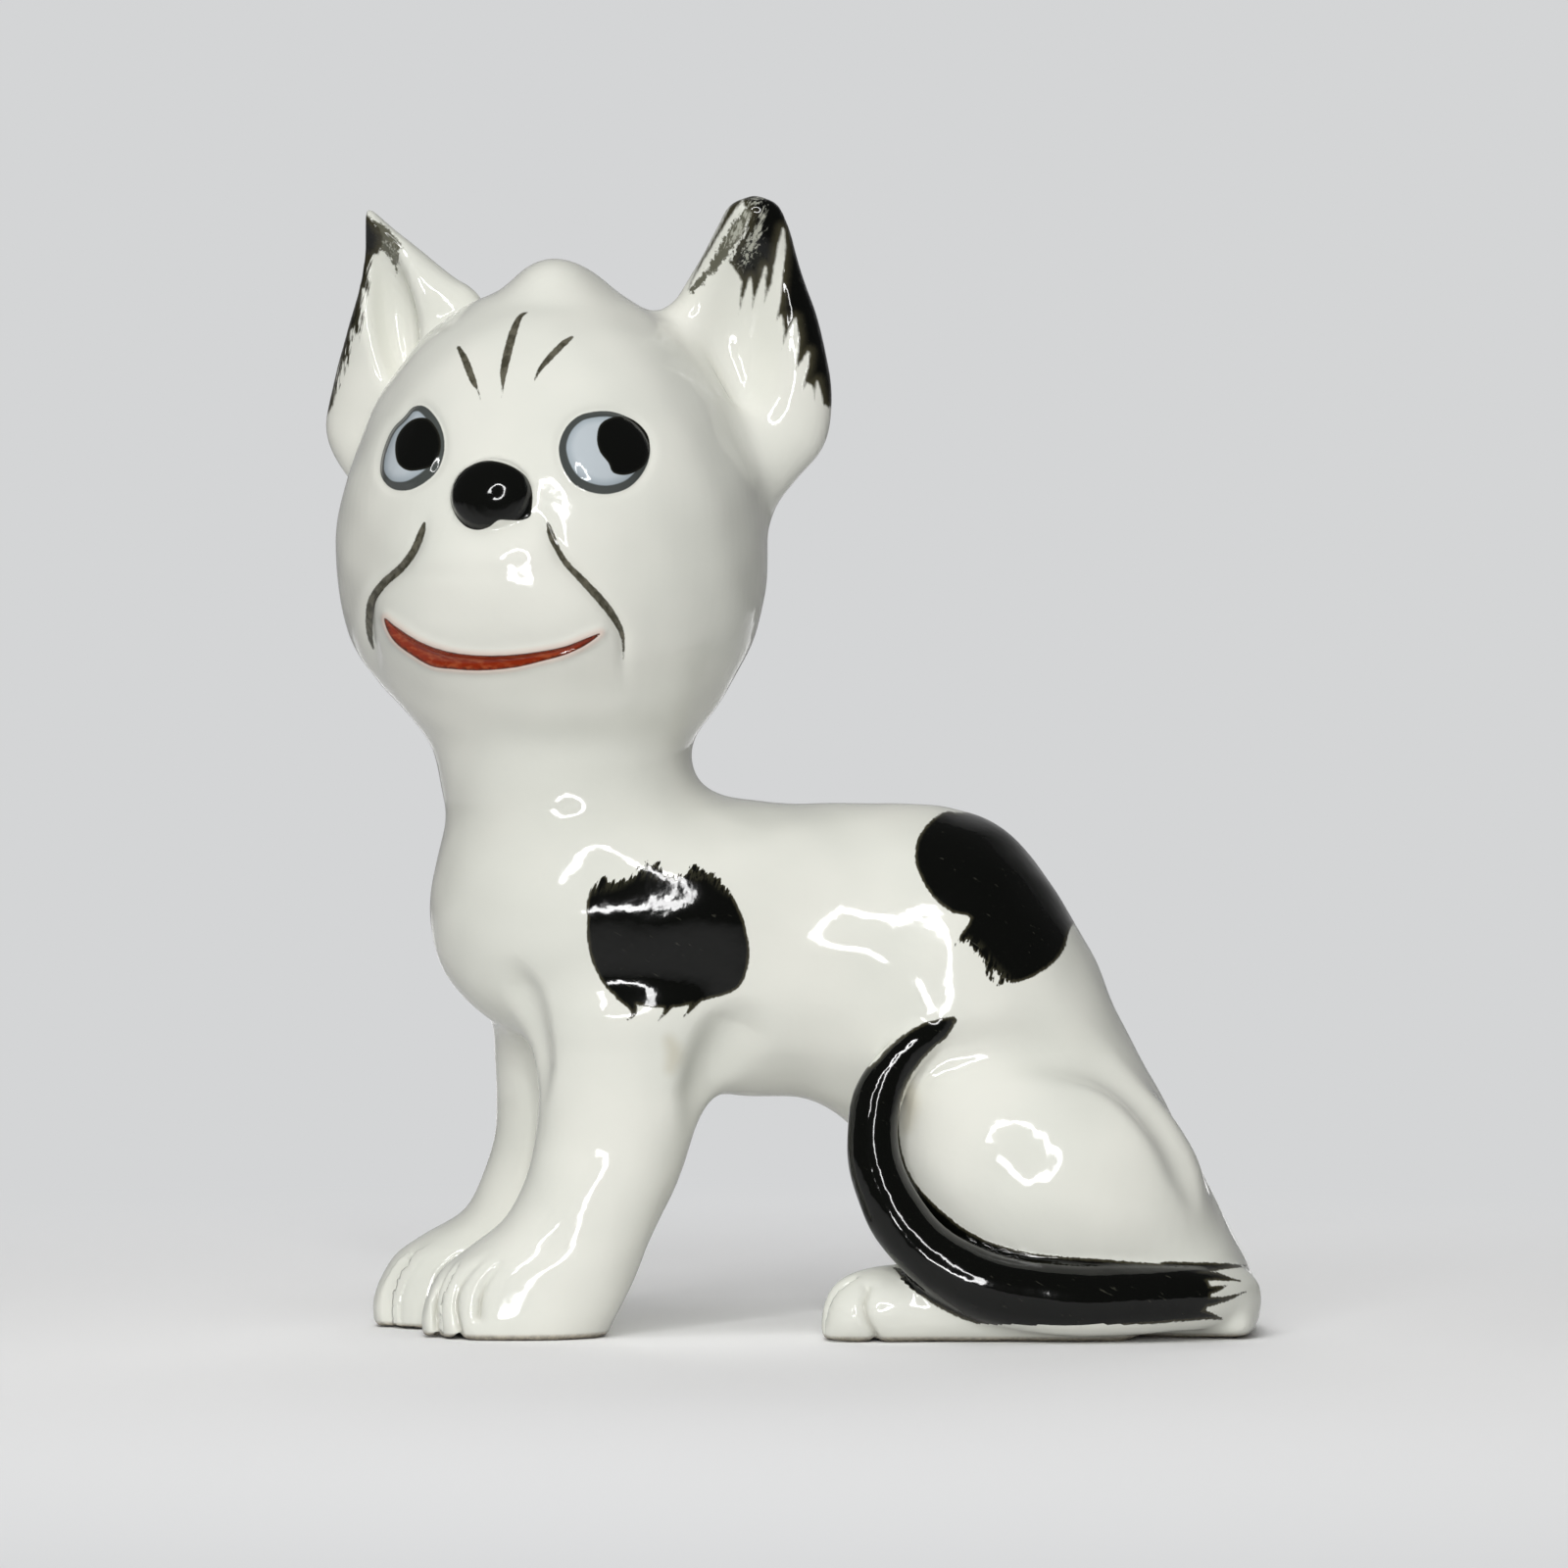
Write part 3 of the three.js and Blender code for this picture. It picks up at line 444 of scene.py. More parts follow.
CHIN_WIDE = 11.1 / CHEEK
CHIN_DEEP = NECK_HALF / BROW
HEAD_ROWS = [
    head_row(-0.08, 0, 0, 1),
    head_row(-0.05, CHIN_WIDE, CHIN_DEEP, 1),
    head_row(0, CHIN_WIDE * 1.02, CHIN_DEEP * 1.02, 1),
    head_row(0.065, 0.69, 0.68, 0.7),
    head_row(0.13, 0.8, 0.79, 0.35),
    head_row(0.235, 0.94, 0.91),
    head_row(0.36, 1, 0.985),
    head_row(0.465, 1, 1),
    head_row(0.55, 0.975, 0.985),
    head_row(0.655, 0.89, 0.905),
    head_row(0.76, 0.79, 0.8),
    head_row(0.865, 0.615, 0.64),
    head_row(0.926, 0.45, 0.48),
    head_row(0.958, 0.33, 0.37),
    head_row(0.98, 0.19, 0.21),
    head_row(0.987, 0, 0),
]


def swell(points):
    """The muzzle swells forwards and the tuft upwards from the plain skull."""
    points = points.copy()
    up = (points[:, 2] - NECK_TOP - 11.5) / 12
    muzzle = np.exp(-(((points[:, 0] / 13.5) ** 2 + up ** 2) ** 2))
    points[:, 1] -= np.where(points[:, 1] < 0, 1.6 * muzzle, 0)
    tuft = np.exp(-((((points[:, 0] - 1.1) / 4.8) ** 2 + (points[:, 1] / 6.4) ** 2) ** 1.4))
    points[:, 2] += np.where(points[:, 2] > SKULL_TOP - 6.5, 1.0 * tuft, 0)
    return points


def head_form():
    points, quads, triangles = slab(HEAD_ROWS, sides=96, rings=240, power=2.1)
    return turned((swell(points), quads, triangles))


def tuft_form():
    return turned(egg([1.2, -2.6, SKULL_TOP - 1.9], [3.9, 5.0, 3.5], rotation("x", -14)))


def skull_size(height):
    """Half width and half thickness of the plain skull at a height above the neck joint."""
    at = spline(HEAD_ROWS, np.linspace(0, 1, 2000))
    near = np.argmin(np.abs(at[:, 1] - NECK_TOP - height))
    return (at[near, 0] - at[near, 2]) / 2, at[near, 4]


def on_face(angle, height):
    wide, deep = skull_size(height)
    turn = math.radians(angle)
    spot = [wide * math.sin(turn), -deep * math.cos(turn), NECK_TOP + height]
    return swell(np.array([spot]))[0]


NOSE_HEIGHT = 23.9  # above the neck joint


def nose_form():
    aside = on_face(1, NOSE_HEIGHT) - on_face(-1, NOSE_HEIGHT)
    aside /= np.linalg.norm(aside)
    out = np.cross(aside, on_face(0, NOSE_HEIGHT + 0.5) - on_face(0, NOSE_HEIGHT - 0.5))
    out /= np.linalg.norm(out)
    turn = np.stack([aside, -out, np.cross(out, aside)], 1)
    return turned(egg(on_face(0, NOSE_HEIGHT), [3.95, 2.4, 3.35], turn))


EAR_RISE = 24.5  # neck joint to the ears' bottom
EAR_ROOT = skull_size(EAR_RISE + 9)[0] - 5.5
EAR_BOTTOM = NECK_TOP + EAR_RISE
EAR_WIDTH = 15.0
EAR_HEIGHT = 28.6
EAR_LEAN = 2.2
EAR_SETBACK = 5.0


def ear_row(outer, outer_up, inner, inner_up, thick, back):
    return [
        EAR_ROOT + outer * EAR_WIDTH, EAR_BOTTOM + outer_up * EAR_HEIGHT,
        EAR_ROOT + inner * EAR_WIDTH, EAR_BOTTOM + inner_up * EAR_HEIGHT,
        thick * 3.5, EAR_SETBACK + back]


LEFT_EAR = [
    ear_row(0.53, 0, 0.53, 0, 0, 1),
    ear_row(0.72, 0.06, 0.3, 0.075, 0.6, 1.4),
    ear_row(0.9, 0.165, 0.1, 0.19, 0.9, 1.8),
    ear_row(0.955, 0.31, -0.06, 0.35, 1, 2),
    ear_row(0.915, 0.51, -0.12, 0.54, 1, 2 - EAR_LEAN * 0.25),
    ear_row(0.82, 0.7, 0.02, 0.68, 0.9, 1.5 - EAR_LEAN * 0.5),
    ear_row(0.76, 0.82, 0.18, 0.81, 0.75, 1 - EAR_LEAN * 0.72),
    ear_row(0.725, 0.91, 0.31, 0.91, 0.6, 0.5 - EAR_LEAN * 0.9),
    ear_row(0.68, 0.97, 0.39, 0.965, 0.45, -EAR_LEAN),
    ear_row(0.54, 1, 0.54, 1, 0, -EAR_LEAN),
]
RIGHT_EAR = [
    ear_row(0.53, 0, 0.53, 0, 0, 1),
    ear_row(0.7, 0.05, 0.3, 0.075, 0.6, 1.4),
    ear_row(0.87, 0.16, 0.1, 0.19, 0.9, 1.8),
    ear_row(0.93, 0.28, -0.1, 0.35, 1, 2),
    ear_row(0.84, 0.45, -0.2, 0.54, 1, 2 - EAR_LEAN * 0.25),
    ear_row(0.73, 0.59, -0.13, 0.69, 0.9, 1.5 - EAR_LEAN * 0.5),
    ear_row(0.65, 0.72, 0.02, 0.76, 0.8, 1.2 - EAR_LEAN * 0.6),
    ear_row(0.605, 0.82, 0.21, 0.84, 0.65, 1 - EAR_LEAN * 0.72),
    ear_row(0.58, 0.92, 0.4, 0.925, 0.45, 0.5 - EAR_LEAN * 0.9),
    ear_row(0.56, 0.975, 0.5, 0.975, 0.25, -EAR_LEAN),
    ear_row(0.55, 0.995, 0.55, 0.995, 0, -EAR_LEAN),
]


def mirrored(form):
    points, quads, triangles = form
    return points * np.array([-1, 1, 1]), quads, triangles


def ear_form(side):
    return turned(slab(LEFT_EAR, power=2.1) if side < 0 else mirrored(slab(RIGHT_EAR, power=2.1)))


def behind(pixel, y):
    """The point at depth y that the camera sees at a pixel."""
    spot = px([pixel])[0]
    x, z = VIEW_CENTRE + (spot - VIEW_CENTRE) * (VIEW_DISTANCE + y) / VIEW_DISTANCE
    return np.array([x, y, z])


def scoop_form(pixel, y, lean, radii):
    """The hollow in an ear's front, round a point that the camera sees."""
    tilt = FACE @ rotation("x", 6.4) @ rotation("y", lean)
    return egg(behind(pixel, y), radii, tilt)


def toe_grooves(x, y, z, count, pitch, tilt):
    for i in range(count):
        across = y + (i - (count - 1) / 2) * pitch
        yield field(egg([x, across, z], [1.9, 0.5, 5], rotation("y", tilt), 24, 16))


# One casting: every form with its fillets

parts = {
    "torso_shell": field(torso_form()),
    "head_shell": field(head_form()),
    "left_front_leg": field(leg_form(-1)),
    "right_front_leg": field(leg_form(1)),
    "tail": field(tail_form()),
    "left_ear": carve(
        field(ear_form(-1)), field(scoop_form((745, 366), -2.1, 15, [3.2, 2.4, 9.5])), 4.0),
    "right_ear": carve(
        field(ear_form(1)), field(scoop_form((403, 330), 7.4, -11, [2.3, 2.8, 8.5])), 1.8),
    "nose_button": field(nose_form()),
}
TOE_EDGE = 0.5  # rounding of the toe grooves' edges
for name, side, ahead in (("left_front_leg", -1, 0), ("right_front_leg", 1, -STAGGER)):
    for groove in toe_grooves(PAW_FRONT + 1 + ahead, side * LEG_SPREAD, 2.6, count=3, pitch=3.3, tilt=28):
        parts[name] = carve(parts[name], groove, TOE_EDGE)
for name, side in (("left_hind_leg", -1), ("right_hind_leg", 1)):
    parts[name] = join(field(haunch_form(side)), field(foot_form(side)), 1.5)
    for groove in toe_grooves(TOE + 0.6, side * FOOT_Y, 2.2, count=2, pitch=3.5, tilt=18):
        parts[name] = carve(parts[name], groove, TOE_EDGE)

parts["head_shell"] = join(parts["head_shell"], field(tuft_form()), 2.6)
body = join(parts["torso_shell"], parts["head_shell"], 5.0)


def eased_upwards(values, middle, reach, width):
    """The field averaged up and down over width millimetres, within reach of a level."""
    last = int(1.5 * width / VOXEL)
    steps = np.arange(-last, last + 1)
    weights = hump(steps * VOXEL, width)
    z = (np.arange(SHAPE[2]) + FIRST[2]) * VOXEL
    share = (smoothstep(reach, reach / 3, np.abs(z - middle))).astype(np.float32)
    inside = np.nonzero(share)[0]
    averaged = sum(w * values[:, :, inside + step] for w, step in zip(weights, steps)) / weights.sum()
    values[:, :, inside] += (averaged - values[:, :, inside]) * share[inside]
    return values


body = eased_upwards(body, NECK_TOP, 9.0, 2.4)
legs = join(parts["left_front_leg"], parts["right_front_leg"], 1.0)
body = join(body, legs, 4.5)
for name, soft in (("left_hind_leg", 2.5), ("right_hind_leg", 2.5), ("left_ear", 5.0),
                   ("right_ear", 3.5), ("nose_button", 0.5)):
    body = join(body, parts[name], soft)


def slope(values, points):
    """Outward directions of a field at points."""
    steps = np.eye(3) * VOXEL
    rise = np.stack([sample(values, points + step) - sample(values, points - step) for step in steps], 1)
    return rise / np.linalg.norm(rise, axis=1)[:, None]


def touched(pixels):
    """Where the camera's rays through pixels first meet the casting."""
    found = []
    for pixel in pixels:
        y = np.arange(LOW[1] + 1, HIGH[1] - 1, 0.1)
        ray = np.array([behind(pixel[:2], depth) for depth in y])
        found.append(ray[np.argmax(sample(body, ray) < 0)])
    return np.array(found)


# Soft grooves that the camera sees: pixels along each, its radius, depth, rounding and whether
# the far side has it too, with how far ahead it lies there
CREASE_CUTS = [
    ([(526, 985), (536, 1015), (546, 1045), (553, 1080), (554, 1120)], 1.7, 0.9, 1.5, False, 0),
    ([(762, 1030), (747, 1052), (731, 1078), (716, 1110), (703, 1146)], 2.6, 1.2, 2.2, True, -STAGGER),
    ([(930, 1104), (955, 1084), (985, 1074), (1020, 1069), (1055, 1069), (1090, 1076), (1122, 1090),
      (1150, 1110), (1174, 1135), (1193, 1163), (1207, 1192), (1218, 1225)], 2.2, 0.95, 2.2, True, 0),
]
for pixels, radius, depth, soft, both_sides, ahead in CREASE_CUTS:
    touching = touched(pixels)
    centres = touching + slope(body, touching) * (radius - depth)
    taper = np.sin(np.linspace(0.15, 0.85, len(pixels)) * math.pi) ** 0.5
    path = np.concatenate([centres, (radius * taper)[:, None]], 1)
    cut = field(rope(path, sides=24, rings=80))
    if both_sides:
        path = path * np.array([1, -1, 1, 1]) + np.array([ahead, 0, 0, 0])
        cut = np.minimum(cut, field(rope(path, sides=24, rings=80)))
    body = carve(body, cut, soft)
body = join(body, parts["tail"], 0.8)
vent = rope([[RUMP_REAR - 22, 0, z, 3] for z in (-5.0, 0.0, 5.0, 9.0)])
body = carve(body, field(vent), 0.8)
body = carve(body, below_plane(0.0), 0.7)

grid = vdb.FloatGrid(BAND)
grid.copyFromArray(np.clip(body, -BAND, BAND), ijk=tuple(int(v) for v in FIRST), tolerance=0)
grid.transform = vdb.createLinearTransform(voxelSize=VOXEL)
skin_points, skin_quads = grid.convertToQuads(isovalue=0.0)
skin_points = skin_points.astype(float)
skin_quads = skin_quads.astype(int)


def face_normals(points, quads):
    return np.cross(points[quads[:, 2]] - points[quads[:, 0]], points[quads[:, 3]] - points[quads[:, 1]])


def vertex_normals(points, quads):
    total = np.zeros_like(points)
    across = face_normals(points, quads)
    for corner in range(4):
        np.add.at(total, quads[:, corner], across)
    return total / (np.linalg.norm(total, axis=1)[:, None] + TINY)


def refined(points, quads, fine):
    """One Catmull-Clark step; only the quads marked fine are split.

    Also gives the split edges' new points that lie between the corners of the other quads.
    """
    ends = np.stack([quads, np.roll(quads, -1, axis=1)], 2)
    low, high = ends.min(2), ends.max(2)
    keys, edge_of = np.unique(low * len(points) + high, return_inverse=True)
    edge_of = edge_of.reshape(-1, 4)
    edges = np.stack([keys // len(points), keys % len(points)], 1)
    centres = points[quads].mean(1)
    middles = points[edges].mean(1)
    around = np.zeros_like(middles)
    beside = np.zeros(len(edges))
    fine_beside = np.zeros(len(edges))
    for corner in range(4):
        np.add.at(around, edge_of[:, corner], centres)
        np.add.at(beside, edge_of[:, corner], 1)
        np.add.at(fine_beside, edge_of[:, corner], fine)
    halfway = (around / beside[:, None] + middles) / 2
    faces_at, edges_at = np.zeros_like(points), np.zeros_like(points)
    valence = np.zeros(len(points))
    for corner in range(4):
        np.add.at(faces_at, quads[:, corner], centres)
        np.add.at(valence, quads[:, corner], 1)
        np.add.at(edges_at, quads[:, corner], middles[edge_of[:, corner]])
        np.add.at(edges_at, quads[:, corner], middles[edge_of[:, corner - 1]])
    n = valence[:, None]
    settled = (faces_at / n + edges_at / n + (n - 3) * points) / n
    border = (fine_beside > 0) & (fine_beside < beside)
    halfway[border] = settled[edges[border]].mean(1)
    every = np.concatenate([settled, halfway, centres])
    first_edge, first_centre = len(points), len(points) + len(edges)
    chosen = np.nonzero(fine)[0]
    between = np.where(border[edge_of[~fine]], first_edge + edge_of[~fine], -1)
    split = []
    for corner in range(4):
        split.append(np.stack([quads[chosen, corner], first_edge + edge_of[chosen, corner],
                               first_centre + chosen, first_edge + edge_of[chosen, corner - 1]], 1))
    between = np.concatenate([between, np.full((4 * len(chosen), 4), -1)])
    return every, np.concatenate([quads[~fine], *split]), between


if np.sum(face_normals(skin_points, skin_quads) * skin_points[skin_quads[:, 0]]) < 0:
    skin_quads = skin_quads[:, ::-1]
normals = vertex_normals(skin_points, skin_quads)


# Outlines of the paint, in pixels of the photograph; a third column is a stroke's half width

SHOULDER = [
    (599, 938), (599, 918), (607, 902), (616, 895), (623, 899), (633, 898), (643, 894), (653, 887),
    (659, 880), (665, 885), (672, 877), (676, 890), (686, 895), (698, 893), (708, 883), (718, 889),
    (728, 892), (742, 906), (754, 926), (761, 946), (765, 970), (763, 989), (756, 1005),
    (746, 1013), (726, 1019), (706, 1025), (682, 1029), (659, 1027), (639, 1022), (623, 1013),
    (611, 997), (603, 977), (599, 958)]
RUMP = [
    (966, 828), (976, 829), (990, 829), (1002, 828), (1018, 832), (1040, 850), (1062, 866),
    (1080, 885), (1094, 908), (1100, 933), (1092, 948), (1086, 968), (1075, 983), (1059, 994),
    (1044, 1001), (1031, 1003), (1017, 994), (1010, 987), (1004, 979), (994, 968), (983, 959),
    (976, 963), (981, 952), (990, 937), (971, 931), (954, 918), (941, 899), (934, 880), (935, 860),
    (943, 845), (954, 834)]
FLICKS = [
    [(636, 1014, 9), (646, 1028, 4.6), (646, 1036, 2), (640, 1041, 0.8)],
    [(684, 1020, 7), (679, 1032, 2.8), (671, 1042, 0.6)],
    [(712, 1017, 6), (704, 1030, 2.2), (697, 1038, 0.5)],
    [(1010, 975, 8), (1010, 990, 3.1), (1014, 1002, 0.6)],
    [(1028, 988, 7), (1022, 1001, 1.9), (1018, 1006, 0.6)]]
BROWS = [
    [(468, 355, 2.4), (474, 366, 3.8), (483, 389, 3.5), (487, 397, 1.5), (491, 409, 0.4)],
    [(538, 319, 1), (532, 322, 2.4), (526, 333, 4), (519, 356, 4.6), (514, 379, 4), (513, 394, 1.7),
     (512, 406, 0.6)],
    [(584, 344, 1.7), (576, 350, 3.4), (560, 366, 3.4), (551, 377, 2.4), (545, 389, 0.6)]]
CREASES = [
    [(433, 534, 2), (430, 544, 3.9), (422, 563, 4.4), (409, 580, 4.6), (392, 595, 4.6),
     (380, 612, 4.6), (377, 632, 4.4), (378, 651, 3), (381, 662, 1.3)],
    [(559, 534, 2), (562, 545, 3.9), (568, 559, 3.4), (577, 574, 3.4), (593, 591, 4),
     (610, 609, 4.6), (625, 628, 4.3), (634, 645, 3), (636, 658, 1.7), (636, 674, 0.6)]]
MOUTH = [
    (401, 628), (415, 637), (434, 649), (461, 659), (491, 664), (522, 664), (553, 660), (576, 655),
    (595, 648), (611, 643), (599, 653), (579, 663), (553, 671), (526, 678), (491, 681), (465, 679),
    (445, 676), (426, 665), (411, 653), (404, 641)]
NOSE = [
    (460, 513), (461, 498), (468, 484), (480, 475), (495, 470), (512, 472), (528, 479), (538, 488),
    (543, 501), (543, 517), (541, 527), (532, 531), (518, 531), (509, 531), (499, 538), (488, 541),
    (476, 538), (466, 528)]
LEFT_EYE = [
    (570, 459), (573, 444), (580, 432), (591, 423), (606, 419), (625, 419), (644, 426), (658, 440),
    (664, 456), (662, 471), (654, 486), (641, 498), (621, 504), (602, 502), (586, 494), (575, 479)]
LEFT_PUPIL = [
    (609, 448), (612, 434), (621, 427), (637, 425), (650, 431), (661, 444), (663, 457), (659, 473),
    (648, 482), (636, 485), (625, 482), (621, 473), (612, 461)]
RIGHT_EYE = [
    (411, 425), (421, 415), (432, 414), (444, 425), (451, 440), (452, 459), (445, 479), (432, 492),
    (415, 500), (398, 498), (388, 486), (387, 471), (392, 452), (400, 436)]
RIGHT_PUPIL = [
    (403, 459), (405, 446), (413, 434), (424, 427), (436, 427), (446, 438), (450, 452), (448, 465),
    (442, 475), (428, 480), (415, 480), (406, 473)]
LEFT_EAR_INK = [
    (756, 198), (770, 190), (786, 190), (801, 197), (812, 215), (822, 250), (830, 275),
    (838, 300), (846, 325), (852, 350), (856, 380), (856, 410), (846, 418), (839, 413), (837, 402),
    (834, 390), (831, 411), (828, 395), (824, 392), (818, 401), (820, 386), (824, 372), (825, 360),
    (817, 371), (810, 383), (813, 363), (814, 344), (811, 326), (804, 341), (797, 361), (799, 338),
    (797, 322), (791, 330), (795, 308), (797, 286), (799, 265), (801, 251), (799, 234), (794, 256),
    (788, 289), (779, 314), (780, 294), (781, 273), (775, 294), (767, 318), (767, 302), (766, 284),
    (760, 302), (753, 324), (754, 305), (756, 287), (750, 278), (744, 268), (749, 254), (757, 240),
    (763, 227), (765, 216), (758, 211)]
LEFT_EAR_EDGE = [
    (754, 203, 5), (744, 218, 4), (733, 238, 2.8), (720, 260, 2.4), (709, 281, 2), (702, 296, 1.2)]
LEFT_EAR_GRIME = [(764, 216, 6), (752, 234, 7), (741, 252, 7), (729, 270, 5), (717, 285, 4), (706, 297, 3)]
RIGHT_EAR_INK = [
    (356, 200), (369, 205), (376, 219), (385, 228), (392, 240), (391, 250), (387, 260), (380, 264),
    (378, 276), (378, 290), (376, 304), (371, 296), (371, 312), (370, 330), (367, 354), (365, 345),
    (360, 338), (358, 352), (356, 366), (351, 382), (351, 368), (348, 378), (345, 394), (341, 414),
    (334, 426), (316, 428), (316, 404), (322, 383), (330, 359), (337, 337),
    (344, 312), (350, 296), (354, 283), (354, 256), (354, 232)]
RIGHT_EAR_OLIVE = [
    (378, 220), (387, 227), (397, 233), (404, 241), (410, 251), (408, 262), (405, 281), (400, 267),
    (394, 259), (388, 256), (384, 246), (380, 232)]
TAIL_INK = [
    (1208, 1320, 28), (1190, 1320, 30), (1150, 1320, 33), (1115, 1320, 36), (1080, 1321, 39),
    (1040, 1318, 41), (1000, 1308, 42), (965, 1290, 41), (934, 1262, 38), (909, 1230, 34),
    (896, 1195, 29), (892, 1160, 26), (896, 1125, 23), (908, 1097, 20), (926, 1074, 17),
    (945, 1058, 14), (958, 1051, 11), (972, 1041, 4.5)]
TAIL_BRISTLES = [
    [(1190, 1297, 10), (1225, 1294, 6), (1252, 1292, 3), (1274, 1292, 0.8)],
    [(1200, 1306, 9), (1236, 1302, 5), (1254, 1305, 2.4), (1265, 1307, 0.8)],
    [(1205, 1318, 9), (1238, 1316, 4), (1252, 1312, 0.8)],
    [(1205, 1328, 9), (1236, 1328, 5), (1256, 1324, 2.2), (1271, 1318, 0.8)],
    [(1205, 1340, 9), (1230, 1342, 5), (1248, 1346, 0.8)]]
RAGGED = [
    [(604, 905, 10), (625, 899, 12), (650, 886, 13), (690, 890, 13), (722, 890, 12), (745, 908, 9)],
    [(974, 962, 8), (990, 966, 12), (1005, 985, 13), (1026, 1002, 10)],
    [(746, 262, 9), (757, 244, 8), (766, 225, 6)],
    [(380, 262, 8), (370, 310, 9), (358, 350, 9), (344, 395, 8)]]
WORN = [
    [(766, 214, 3), (760, 224, 6), (750, 240, 6), (741, 251, 4)],
    [(780, 214, 4), (773, 234, 7), (765, 254, 7), (758, 270, 5)],
    [(790, 196, 2), (778, 200, 4), (768, 206, 4)],
    [(393, 246, 3), (399, 252, 4), (403, 258, 2)]]
STAINS = [[(683, 1062, 3), (688, 1075, 6), (684, 1090, 3)], [(925, 1100, 3), (928, 1125, 6), (925, 1150, 3)]]


def closed(outline, steps=6):
    """A smooth closed outline through its points, in millimetres."""
    points = px(outline)
    around = np.concatenate([points[-2:], points, points[:3]])
    rows = np.concatenate([around, np.zeros((len(around), 1))], 1)
    shares = (np.arange(len(points) * steps) / steps + 2) / (len(rows) - 1)
    return spline(rows, shares)[:, :2]


def depth_in_lines(spots, rows):
    """Distance to the edge of joined straight lines of x, y and half width, positive inside."""
    depth = np.full(len(spots), -np.inf)
    for start, end in zip(rows[:-1], rows[1:]):
        edge = end[:2] - start[:2]
        away = spots - start[:2]
        along = np.clip(away @ edge / (edge @ edge + TINY), 0, 1)
        wide = start[2] + (end[2] - start[2]) * along
        depth = np.maximum(depth, wide - np.linalg.norm(away - along[:, None] * edge, axis=1))
    return depth


def depth_inside(spots, outline):
    """Distance to a closed outline, positive inside it."""
    rows = np.column_stack([outline, np.zeros(len(outline))])
    rows = np.concatenate([rows, rows[:1]])
    within = np.zeros(len(spots), bool)
    for (x, z, _), (next_x, next_z, _) in zip(rows[:-1], rows[1:]):
        spans = (z > spots[:, 1]) != (next_z > spots[:, 1])
        crossing = x + (next_x - x) * (spots[:, 1] - z) / (next_z - z or TINY)
        within ^= spans & (spots[:, 0] < crossing)
    return np.where(within, -1, 1) * depth_in_lines(spots, rows)


def depth_in_stroke(spots, stroke, steps=4):
    """Distance to the edge of a brush stroke, positive inside it."""
    rows = px(stroke)
    return depth_in_lines(spots, spline(rows, np.linspace(0, 1, (len(rows) - 1) * steps + 1)))


NO_PAINT = -4.0  # stands for far away from any paint


def laid(shape, reach, measure=depth_inside, at=None):
    """Depth in a shape at every vertex of the skin where reach holds."""
    at = spots if at is None else at
    outline = shape if measure is depth_inside else px(shape)
    low, high = outline[:, :2].min(0) - 3, outline[:, :2].max(0) + 3
    near = reach & np.all((at > low) & (at < high), axis=1)
    depth = np.full(len(at), NO_PAINT)
    depth[near] = np.maximum(measure(at[near], shape), NO_PAINT)
    return depth


def most(*depths):
    return np.maximum.reduce(depths)


def brushed(strokes, reach):
    """Depth in the nearest of some brush strokes."""
    return most(*[laid(stroke, reach, depth_in_stroke) for stroke in strokes])


# Lines between toes along pixels, and how far forward the other side's line lies
TOE_LINES = [
    ([(486, 1265), (464, 1284), (450, 1303), (444, 1324), (446, 1366)], STAGGER),
    ([(499, 1278), (480, 1295), (467, 1313), (463, 1332), (468, 1366)], STAGGER),
    ([(510, 1288), (497, 1304), (489, 1322), (487, 1344)], STAGGER),
    ([(420, 1278), (407, 1296), (402, 1316), (401, 1360)], None),
    ([(884, 1312), (881, 1330), (884, 1346), (893, 1366)], -1.7)]

# Boxes of pixels where the skin is split finer for the paint's edges
FINE_PAINT = [(585, 870, 780, 1055), (925, 815, 1105, 1015), (1200, 1280, 1290, 1358),
              (370, 1255, 525, 1372), (865, 1300, 915, 1372)]
middles = skin_points[skin_quads].mean(1)
in_front = ((middles - HEAD_PLACE) @ FACE)[:, 1] < 4
fine = (middles[:, 2] > NECK_TOP) & (in_front | (middles[:, 2] > NECK_TOP + 22))
for left, top, right, bottom in FINE_PAINT:
    corner, opposite = px([(left, bottom), (right, top)])
    fine |= np.all((seen(middles) > corner) & (seen(middles) < opposite), axis=1)
skin_points, skin_quads, skin_between = refined(skin_points, skin_quads, fine)
normals = vertex_normals(skin_points, skin_quads)

spots = seen(skin_points)
facing = (normals[:, 1] < 0.25) & (skin_points[:, 1] < 3)
on_head = facing & (skin_points[:, 2] > NECK_TOP)

# Relief of the face, moved along the skin's normals


def side_of(spots, stroke, sign):
    """Distance from a crease's middle line, positive on the muzzle's side of it."""
    rows = px(stroke)
    rows = np.concatenate([rows[:1] + (rows[0] - rows[2]) * 2, rows, rows[-1:] + (rows[-1] - rows[-3]) * 2])
    rows[:, 2] = 0
    rows = spline(rows, np.linspace(1, 0, 300))[:, :2]
    x = np.interp(spots[:, 1], rows[:, 1], rows[:, 0])
    slant = np.gradient(rows[:, 0]) / np.gradient(rows[:, 1])
    half = 20  # neighbours on each side that even the slant out
    spread = hump(np.linspace(-2, 2, 2 * half + 1), 1)
    slant = np.convolve(np.pad(slant, half, mode="edge"), spread / spread.sum(), mode="valid")
    return sign * (spots[:, 0] - x) * np.interp(spots[:, 1], rows[:, 1], 1 / np.hypot(1, slant))


MUZZLE_RISE = 1.3
CREASE_DEPTH, CREASE_WIDTH = 0.35, 0.7
EYE_RISE, EYE_RIM_DEPTH = 0.8, 0.18
LIP_RISE, MOUTH_DEPTH = 0.25, 0.35
TOE_DENTS = ((0.42, 0.33), (0.3, 0.85))  # depth and width of the nick and of the dip round it

